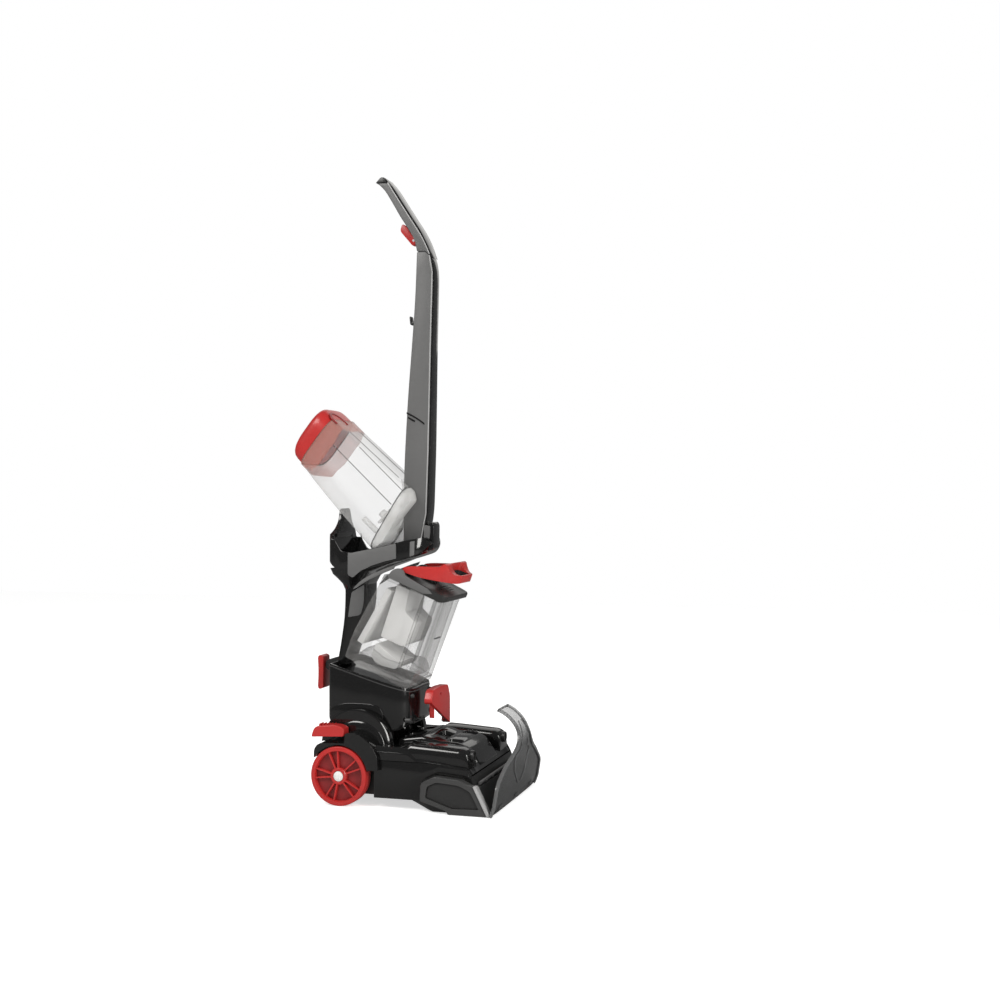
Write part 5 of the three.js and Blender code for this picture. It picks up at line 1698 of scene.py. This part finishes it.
@dataclass
class CleanTank(SubAssembly):
    """Clean-water tank, leaning back on the shelf: fluted clear shell, red cap and pale base.

    Drawn standing up from its rear lower edge, with X as its depth.

    Attributes:
        place: where that edge lands.
        half: half width.
        groove: half width of the groove that clears the mast.
        cap_front: depth of the cap's front, where its lower edge is highest.
        cap_slope: fall of that edge towards the rear.
    """

    place: Place = Place(41.0, 440.5, -46.5)
    half: float = 61.8
    groove: float = 22.4
    cap_front: float = 104.0
    cap_slope: float = 0.10

    def build(self) -> None:
        """Makes the tank's pieces."""
        self.put(self.shell(), "clean_tank_wall", Look.CLEAR, ["clean_tank_shell"])
        self.put(self.flutes(), "clean_tank_flutes", Look.SEAM)
        self.put(self.rims(), "clean_tank_rims", Look.SEAM)
        self.put(self.base(), "clean_tank_foot", Look.FROST, ["clean_tank_base"])
        self.put(self.fitting(), "clean_tank_fitting", Look.FROST)
        self.put(self.cap(), "clean_tank_dome", Look.RED, ["clean_tank_cap"])
        self.put(self.skirt(), "clean_tank_skirt", Look.PINK)
        self.put(self.hand_rest(), "clean_tank_rest", Look.DEEP_RED)

    def put(
        self, obj: bpy.types.Object, name: str, look: Look, replaces: Sequence[str] = ()
    ) -> None:
        """Places one piece of the tank.

        Args:
            obj: the mesh.
            name: its name.
            look: its finish.
            replaces: frame nodes that it stands for.
        """
        self.bench.piece(obj, name, look, "clean_tank", replaces, self.place)

    def rear(self, w: float) -> float:
        """Depth of the rear wall at a height."""
        return along(((16, -13.0), (93, -8.5), (160, -3.0), (200, 2.5), (230, 5.0)), w)

    def front(self, w: float) -> float:
        """Depth of the front wall at a height."""
        return between(111.0, 104.0, (w - 40) / 188)

    def low(self, u: float) -> float:
        """Height of the shell's lower edge at a depth."""
        return between(8, 34.5, (u + 13) / 125)

    def seam(self, u: float) -> float:
        """Height of the cap's lower edge at a depth."""
        return 218 - (self.cap_front - u) * self.cap_slope

    def section(self, w: float, inset: float) -> list:
        """Ring with rounded corners and a groove in front that clears the mast.

        Args:
            w: height of the ring.
            inset: how far it is drawn in.

        Returns:
            Points of the ring.
        """
        rear, front = self.rear(w) + inset, self.front(w) - inset
        half, groove = self.half - inset, self.groove + inset
        depth = min(max(between(44, 112, (w + 8) / 66) - inset, 47), front - 0.4)
        corners = [(rear, -half, 30), (front, -half, 36), (front, -groove, 3), (depth, -groove, 2),
                   (depth, groove, 2), (front, groove, 3), (front, half, 36), (rear, half, 30)]
        return [(x, y, w) for x, y in rounded(corners, 7)]

    def shell(self) -> bpy.types.Object:
        """Clear tapering shell, in one closed skin."""
        heights = (8, 16, 22, 30, 40, 50, 58, 62, 80, 110, 140, 170, 195, 222)
        rings = []
        for w in heights:
            rings.append([
                (x, y, min(max(z, self.low(x) + 0.02 * (w - 8)), self.seam(x) + 0.02 * (w - 222)))
                for x, y, z in self.section(w, 0.2)])
        return self.bench.loft(rings, capped=True)

    def flutes(self) -> bpy.types.Object:
        """Thin raised lines down both sides and the front."""
        parts = []
        for side in (-1, 1):
            faces = sorted((side * (self.half - 0.8), side * (self.half + 0.1)))
            parts.append(self.bench.plate(
                [(74.4, 30), (76.0, 30), (76.4, 182), (74.8, 182)], *faces, bevel=0.3))
        for y in (-26, 26):
            parts.append(self.bench.loft([
                [(self.front(w) + 0.2, y - 0.7, w), (self.front(w) - 1.0, y - 0.9, w),
                 (self.front(w) - 1.0, y + 0.9, w), (self.front(w) + 0.2, y + 0.7, w)]
                for w in (62, 110, 160, 186)]))
        return self.bench.gather(*parts)

    def hoop(self, line: Callable[[float], float], low: float, high: float, outset: float,
             wall: float) -> bpy.types.Object:
        """Closed band round the shell.

        Args:
            line: height of the band's line at a depth.
            low: its lower edge above that line.
            high: its upper edge above that line.
            outset: how far it stands out.
            wall: its thickness.

        Returns:
            The band.
        """
        rings = []
        for rise, inset in ((low, -outset), (high, -outset), (high, wall - outset),
                            (low, wall - outset)):
            rings.append([(x, y, line(x) + rise)
                          for x, y, _ in self.section(line(50.0) + rise, inset)])
        return self.bench.loft([*rings, rings[0]], capped=False)

    def rims(self) -> bpy.types.Object:
        """Dark lines where the shell meets its base and its cap."""
        return self.bench.gather(
            self.hoop(self.low, -0.8, 0.8, 0.5, 2.4), self.hoop(self.seam, -1.4, -0.4, 0.3, 2.0))

    def base(self) -> bpy.types.Object:
        """Base with an overhanging flange and a stepped underside."""
        side = [
            (-13, 7.4), (-10, 3.4, 3), (0, 0.6, 1), (15, -3.4, 3), (66, 7.4, 6), (103, 9.8, 5),
            (112.2, 24, 4), (112.0, 33.6),
        ]
        body = self.bench.plate(side, -80, 80)
        plan = [(-13.2, -self.half, 30), (112.4, -self.half, 34), (112.4, self.half, 34),
                (-13.2, self.half, 30)]
        self.bench.common(body, self.bench.plate(plan, -30, 80, "Z"))
        groove = self.bench.plate(
            [(44, -8), (113, 58), (200, 142), (200, -60), (44, -60)], -self.groove, self.groove)
        self.bench.carve(body, groove)
        self.bench.bevel(body, 1.0, 2)
        return body

    def fitting(self) -> bpy.types.Object:
        """Valve fitting seen through the base and the foot of the shell."""
        parts = [
            self.bench.turned([(16, 0), (16, 15), (24, 15), (26, 12), (38, 11), (40, 8), (50, 7),
                               (50, 0)], 36, 0, "Z", 40),
            self.bench.turned([(26, 0), (26, 5), (60, 5), (60, 0)], 12, -26, "Z", 24),
            self.bench.plate(box_corners(28, 62, 30, 33, 1), -40, -30, bevel=0.4),
        ]
        return self.bench.gather(*parts)

    def dome_rings(self, inset: float) -> list:
        """Rings of the domed cap, which is lower at the rear.

        Args:
            inset: how far they are drawn in.

        Returns:
            The rings from its rim to its crown.
        """
        line = ((218, 0.0, 0.0, 0.0), (230, 0.6, 0.0, 0.0), (237, 2.0, 0.1, 0.6),
                (241.5, 5.0, 0.4, 2.2), (245, 9.0, 1.0, 5.0), (248, 15.0, 2.4, 9.5),
                (250.4, 24.0, 6.0, 16.0), (251.9, 34.0, 13.0, 26.0), (252.5, 43.0, 24.0, 38.0))
        rings = []
        for w, rear, front, side in line:
            half = self.half + 0.3 - side - inset
            left, right = 4.6 + rear + inset, 105.0 - front - inset
            corners = [(left, -half, 30), (right, -half, 32), (right, half, 32), (left, half, 30)]
            rings.append([
                (x, y, w - inset * (w > 232) - (self.cap_front - x) * self.cap_slope)
                for x, y in rounded(corners, 8)])
        return rings

    def cap(self) -> bpy.types.Object:
        """Domed cap."""
        rings, inner = self.dome_rings(0), self.dome_rings(2.4)
        parts = [self.bench.loft([*reversed(inner), *rings], capped=False)]
        for top in (rings[-1], inner[-1]):
            middle = [(between(x, 57, 0.98), y * 0.02, between(z, 248.2, 0.9)) for x, y, z in top]
            parts.append(self.bench.loft([top, middle], capped=False))
        dome = self.bench.gather(*parts)
        self.bench.edit(dome, lambda: bpy.ops.mesh.remove_doubles(threshold=DOME_MERGE),
                        lambda: bpy.ops.mesh.normals_make_consistent(inside=False))
        return dome

    def skirt(self) -> bpy.types.Object:
        """Tinted band under the cap with a wavy lower edge."""
        rings = []
        for top, inset in ((False, -0.35), (True, -0.35), (True, 1.4), (False, 1.4)):
            ring = self.section(200, inset)
            rings.append([
                (x, y, self.seam(x) - 0.5 if top else
                 179 + 0.08 * x + 2.2 * math.sin(x / 7) + 3 * math.sin(y / 9))
                for x, y, _ in ring])
        return self.bench.loft([*rings, rings[0]], capped=False)

    def hand_rest(self) -> bpy.types.Object:
        """Raised arched catch on the cap's front."""
        arch = [(-52, 206), (-50, 226, 8), (-34, 236, 12), (-16, 236, 12), (0, 226, 8), (2, 206),
                (-3, 206), (-5, 222, 8), (-18, 231, 12), (-33, 231, 12), (-45, 222, 8),
                (-47, 206)]
        return self.bench.plate(arch, 103.6, 106.2, "X", 0.6)


@dataclass
class DirtyTank(SubAssembly):
    """Dirty-water tank, tipped forward: smoked shell, inner ducts, lid and handle.

    Drawn standing up from its front lower edge, with X as its depth (negative to the rear).

    Attributes:
        place: where that edge lands.
        half: half width.
    """

    place: Place = Place(101.0, 192.0, 20.0)
    half: float = 61.8

    def build(self) -> None:
        """Makes the tank's pieces."""
        self.put(self.shell(), "dirty_tank_wall", Look.SMOKE, "dirty_tank", ["dirty_tank_shell"])
        self.put(self.seams(), "dirty_tank_rims", Look.SMOKE_EDGE, "dirty_tank")
        self.put(self.ducts(), "dirty_tank_ducts", Look.SMOKE_EDGE, "dirty_tank",
                 ["dirty_tank_pipe"])
        self.put(self.window(), "dirty_tank_window", Look.WINDOW, "dirty_tank",
                 ["dirty_tank_baffle"])
        self.put(self.level(), "dirty_tank_level", Look.SATIN_BLACK, "dirty_tank")
        self.put(self.lid(), "dirty_tank_lid", Look.SATIN_BLACK, "dirty_tank", ["tank_lid"])
        self.pair(self.lid_wing, "lid_wing", Look.MID_GRAY, "dirty_tank", place=self.place)
        self.put(self.handle(), "carry_handle", Look.RED, "bail_handle", ["tank_handle"])
        # Painted shade: black lining on the walls of the handle's finger slot.
        self.put(self.handle_pad(), "carry_handle_pad", Look.SATIN_BLACK, "bail_handle")

    def put(
        self, obj: bpy.types.Object, name: str, look: Look, body: str,
        replaces: Sequence[str] = (),
    ) -> None:
        """Places one piece of the tank.

        Args:
            obj: the mesh.
            name: its name.
            look: its finish.
            body: the body that it moves with.
            replaces: frame nodes that it stands for.
        """
        self.bench.piece(obj, name, look, body, replaces, self.place)

    def form(self, inset: float) -> bpy.types.Object:
        """Solid with the tank's outside form.

        Args:
            inset: how far it is drawn in.

        Returns:
            The solid.
        """
        line = [(-130.0 + inset, inset + 12.0, 5), (-16, inset + 1.2, 8),
                (-0.4 - inset, inset + 2.0, 5), (2.8 - inset, 166.4 - inset),
                (-108.8 + inset, 174.0 - inset), (-130.4 + inset, 50, 20)]
        plan = [(-131 + inset, -self.half + inset, 7), (3.6 - inset, -self.half + inset, 16),
                (3.6 - inset, self.half - inset, 16), (-131 + inset, self.half - inset, 7)]
        return self.bench.common(
            self.bench.plate(line, -70, 70), self.bench.plate(plan, -5, 200, "Z"))

    def shell(self) -> bpy.types.Object:
        """Smoked shell, in one closed skin."""
        return self.form(0)

    def ring(self, low: float, high: float, outset: float, wall: float) -> bpy.types.Object:
        """Band round the shell at a height.

        Args:
            low: its lower height.
            high: its upper height.
            outset: how far it stands out.
            wall: its thickness.

        Returns:
            The band.
        """
        body = self.bench.carve(self.form(-outset), self.form(wall - outset))
        return self.bench.common(
            body, self.bench.plate([(-150, low), (20, low), (20, high), (-150, high)], -80, 80))

    def seams(self) -> bpy.types.Object:
        """Foot band, upright ribs and neck band."""
        ribs = [self.bench.plate([(u, 14), (u + 1.4, 14), (u + 1.8, 158), (u + 0.4, 158)],
                                 -self.half - 0.1, -self.half + 1.4, bevel=0.3)
                for u in (-26, -31)]
        twins = [self.bench.copy(rib, MIRROR_Y) for rib in ribs]
        return self.bench.gather(
            self.foot_band(), self.ring(166.0, 174.4, 0.3, 2.0), *ribs, *twins)

    def foot_band(self) -> bpy.types.Object:
        """Band that follows the shell's sloping foot."""
        body = self.bench.carve(self.form(-0.1), self.form(2.2))
        return self.bench.common(body, self.bench.plate(
            [(-150, 36), (-16, 11.6), (20, 10), (20, 13), (-16, 14.6), (-150, 39.4)], -80, 80))

    def ducts(self) -> bpy.types.Object:
        """Rising suction duct, front column and floor trough."""
        pipe = self.bench.turned([(46, 0), (46, 13.8), (168, 13.8), (168, 0)], -34, 0, "Z", 40)
        floor = self.bench.plate(
            [(-112, 21, 2), (-64, 13, 3), (-16, 9, 6), (-8, 22, 6), (-20, 38, 4), (-60, 34, 6),
             (-96, 44, 4)], -56, 56, bevel=0.6)
        column = self.bench.plate(box_corners(-15, -3, -44, 44, 4), 14, 160, "Z")
        return self.bench.gather(pipe, floor, column)

    def window(self) -> bpy.types.Object:
        """Pale upright duct with a box in front, a panel below and a channel behind."""
        box = self.bench.plate(
            [(-84, 66, 3), (-40, 64, 8), (-33, 72, 6), (-30, 112, 5), (-56, 124, 3), (-62, 164, 2),
             (-86, 164, 2)], -46, 46, bevel=1.5)
        panel = self.bench.plate(
            [(-88, 52, 2), (-90, 30, 6), (-76, 17, 8), (-38, 22, 6), (-34, 36, 4)], -46, 46,
            bevel=1.0)
        rear = self.bench.plate(
            [(-121, 44, 1), (-110, 42, 1), (-90, 150, 1), (-100.6, 152, 1)], -50, 50, bevel=0.6)
        return self.bench.gather(box, panel, rear)

    def level(self) -> bpy.types.Object:
        """Full-level mark on the front wall."""
        return self.bench.plate(box_corners(-16, 16, 92, 93.4, 0.5), 1.4, 3.2, "X")

    def lid_line(self, inset: float, low: float, high: float) -> list:
        """Side outline of the lid, from its lower edge to a line above its upper one.

        Args:
            inset: how far its ends are drawn in.
            low: rise of the lower line.
            high: rise of the upper line.

        Returns:
            The outline's corners.
        """
        return [(-101 + inset, 173 + low), (2, 165.6 + low), (12 - inset, 168.6 + low, 2),
                (13.6 - inset, 178 + high, 4), (-95 + inset, 189 + high, 5)]

    def lid(self) -> bpy.types.Object:
        """Lid with a rolled edge, a sunk middle and a raised hinge block."""
        body = self.bench.common(
            self.bench.plate(self.lid_line(0, 0.0, 0.0), -80, 80),
            self.bench.plate(box_corners(-109, 14, -65, 65, 18), 150, 220, "Z"))
        self.bench.bevel(body, 2.6, 3, 50)
        lugs = [self.bench.plate([(-83, 184, 2), (-66, 183, 2), (-67, 198, 7), (-80, 199.6, 7)],
                                 *sorted((s * 48, s * 40.4)), bevel=1.2) for s in (-1, 1)]
        boss = self.bench.turned(
            [(178, 0), (178, 16), (188, 16), (190.4, 13), (190.4, 0)], -48, 0, "Z", 48)
        grooves = [self.bench.plate([(u, 150), (u + 1.6, 150), (u + 1.6, 200), (u, 200)], -30, 30)
                   for u in (-20, -14, -8)]
        top = self.bench.plate(self.lid_line(6, 12.0, 6.0), -34, 34)
        ribs = self.bench.common(self.bench.gather(*grooves), top)
        self.bench.carve(body, ribs)
        return self.bench.gather(body, boss, *lugs)

    def lid_wing(self) -> bpy.types.Object:
        """Dull side plate of the lid, standing up round the handle's hinge."""
        outline = [(-101, 172.8, 2), (-98, 186, 4), (-90, 194, 5), (-78, 195.6, 6),
                   (-72, 187, 5), (-24, 180.4, 2), (-14, 174.8, 1), (-30, 169.4, 1)]
        return self.bench.plate(outline, -65.6, -61.0, bevel=0.8)

    def handle(self) -> bpy.types.Object:
        """U-shaped carrying handle with a raised front grip and a finger slot."""
        side = [(-81, 190.6, 6), (-82, 199, 7), (-68, 205.2, 8), (-18, 222.8, 4),
                (-13.6, 230.4, 3), (-8.6, 229.4, 2), (-2.6, 221.4, 5), (6, 216.2, 8),
                (16.8, 217.8, 2), (19.2, 205, 4), (13, 201.6, 5), (-6, 199.4, 20),
                (-50, 191.8, 10)]
        body = self.bench.plate(side, -80, 80)
        plan = [(-84, -59.8, 6), (-6, -59.8, 24), (19.2, -29, 14), (19.2, 29, 14),
                (-6, 59.8, 24), (-84, 59.8, 6)]
        self.bench.common(body, self.bench.plate(plan, 180, 240, "Z"))
        opening = self.bench.plate(
            [(-100, -49.6), (-36, -49.6, 14), (-26.4, -34, 12), (-26.4, 34, 12),
             (-36, 49.6, 14), (-100, 49.6)], 150, 260, "Z")
        slot = self.bench.plate(box_corners(-11.6, 13.4, -28.6, 28.6, 7), 150, 260, "Z")
        self.bench.carve(body, opening, slot)
        self.bench.bevel(body, 1.8, 3, 36)
        return body

    def handle_pad(self) -> bpy.types.Object:
        """Painted shade: black lining of the handle's finger slot, standing for the shade inside
        the opening.
        """
        return self.bench.carve(
            self.bench.plate(box_corners(-11.9, 13.7, -28.9, 28.9, 7), 203, 215.6, "Z"),
            self.bench.plate(box_corners(-10.2, 12.0, -27.2, 27.2, 6), 190, 230, "Z"))


# ------------------------------------------------------------------ studio


@dataclass
class Studio:
    """Camera, soft lights and a pale floor.

    Attributes:
        axle_x: the axle's X in the row frame, in metres.
        camera_spot: the camera's place in metres from the axle.
        camera_turn: degrees that it is turned to the left.
        lens: focal length in millimetres.
        sensor: the sensor's width in millimetres.
        shift: vertical shift of the view.
        aim: the spot in metres that every light points at.
        light_colour: colour of every light.
    """

    axle_x: float
    camera_spot: tuple[float, float, float] = (0.9183, -2.2836, 0.5407)
    camera_turn: float = 16.3
    lens: float = 48.96
    sensor: float = 36.0
    shift: float = -0.01
    aim: tuple[float, float, float] = (0.0, 0.0, 0.45)
    light_colour: Colour = (1.0, 0.985, 0.955)

    def build(self) -> None:
        """Makes the whole studio."""
        self.camera()
        self.floor()
        self.world()
        self.softbox("key", (-1.3, -1.9, 2.3), (1.6, 1.1), 46.0)
        self.softbox("side", (1.9, -1.1, 1.2), (0.5, 1.9), 32.0)
        self.softbox("back", (-0.5, 1.9, 1.7), (2.4, 1.6), 9.0)

    def camera(self) -> None:
        """Level camera, turned towards the machine."""
        x, y, z = self.camera_spot
        bpy.ops.object.camera_add(
            location=(self.axle_x + x, y, z),
            rotation=(math.radians(90), 0, math.radians(self.camera_turn)))
        camera = bpy.context.object
        camera.data.lens = self.lens
        camera.data.sensor_width = self.sensor
        camera.data.shift_y = self.shift
        bpy.context.scene.camera = camera

    def softbox(
        self, name: str, spot: tuple[float, float, float], size: Point, power: float
    ) -> None:
        """Rectangular area light aimed at the machine's middle.

        Args:
            name: the light's name.
            spot: its place in metres.
            size: its width and height in metres.
            power: in watts.
        """
        bpy.ops.object.light_add(type="AREA", location=spot)
        light = bpy.context.object
        light.name = name
        light.data.shape = "RECTANGLE"
        light.data.size, light.data.size_y = size
        light.data.energy = power
        light.data.color = self.light_colour
        aim = Vector(self.aim) - Vector(spot)
        light.rotation_euler = aim.to_track_quat("-Z", "Y").to_euler()

    @staticmethod
    def floor() -> None:
        """White floor that shows as plain white and keeps the machine's shadow."""
        bpy.ops.mesh.primitive_plane_add(size=8, location=(0, 0, -0.0005))
        floor = bpy.context.object
        floor.name = "studio_floor"
        graph = Graph("studio_floor")
        seen = graph.node("ShaderNodeLightPath", {}, {}, "Is Camera Ray")
        mirrored_ray = graph.node("ShaderNodeLightPath", {}, {}, "Is Glossy Ray")
        white = graph.mixed(graph.noise(2.0), (0.93, 0.93, 0.93), (0.95, 0.95, 0.95))
        graph.surface({
            "Base Color": graph.mixed(mirrored_ray, white, (0.22, 0.22, 0.22)),
            "Roughness": 0.7,
            "Emission Color": graph.mixed(seen, (0.05, 0.05, 0.05), (1.0, 1.0, 1.0)),
            "Emission Strength": 0.60,
        })
        floor.data.materials.append(graph.material)

    @staticmethod
    def world() -> None:
        """Surroundings that are white to the eye and dimmer in reflections."""
        world = bpy.data.worlds.new("studio")
        world.use_nodes = True
        bpy.context.scene.world = world
        nodes, links = world.node_tree.nodes, world.node_tree.links
        path = nodes.new("ShaderNodeLightPath")
        dim, blend = nodes.new("ShaderNodeMix"), nodes.new("ShaderNodeMix")
        plain, mirrored_level, seen = 0.42, 0.13, 1.0
        for mix, low, high in ((dim, plain, mirrored_level), (blend, plain, seen)):
            mix.data_type = "RGBA"
            mix.inputs[MIX_FIRST].default_value = (low, low, low, 1.0)
            mix.inputs[MIX_SECOND].default_value = (high, high, high, 1.0)
        links.new(path.outputs["Is Glossy Ray"], dim.inputs[MIX_FACTOR])
        links.new(path.outputs["Is Camera Ray"], blend.inputs[MIX_FACTOR])
        links.new(dim.outputs[MIX_RESULT], blend.inputs[MIX_FIRST])
        links.new(blend.outputs[MIX_RESULT], nodes["Background"].inputs["Color"])
        nodes["Background"].inputs["Strength"].default_value = 1.0


# ------------------------------------------------------------------ whole machine


def refinish(frame: dict) -> None:
    """Gives the frame's own nodes finishes that match the new pieces.
    """
    looks = {look.slot: look for look in reversed(Look)}
    for name, node in frame["nodes"].items():
        slots = [m.name for m in node.data.materials]
        look = looks.get(slots[0].split(".")[0] if slots else "", Look.SATIN_BLACK)
        node.data.materials.clear()
        node.data.materials.append(look.material)
        LOG.info("%s keeps its mesh with finish %s", name, look.name)


def main() -> None:
    """Builds the machine round its frame and sets up the studio."""
    logging.basicConfig(level=logging.INFO, format="%(message)s")
    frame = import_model()
    low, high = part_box("wheel_right")
    bench = Bench((low[0] + high[0]) / 2)
    refinish(frame)
    for group in (
        Foot, Wheels, Brush, Controls, Nozzle, Upright, MastAndGrip, CleanTank, DirtyTank,
    ):
        group(bench).build()
    Studio(bench.axle_x).build()
    bpy.context.scene.view_settings.view_transform = "Standard"


if __name__ == "__main__":
    main()
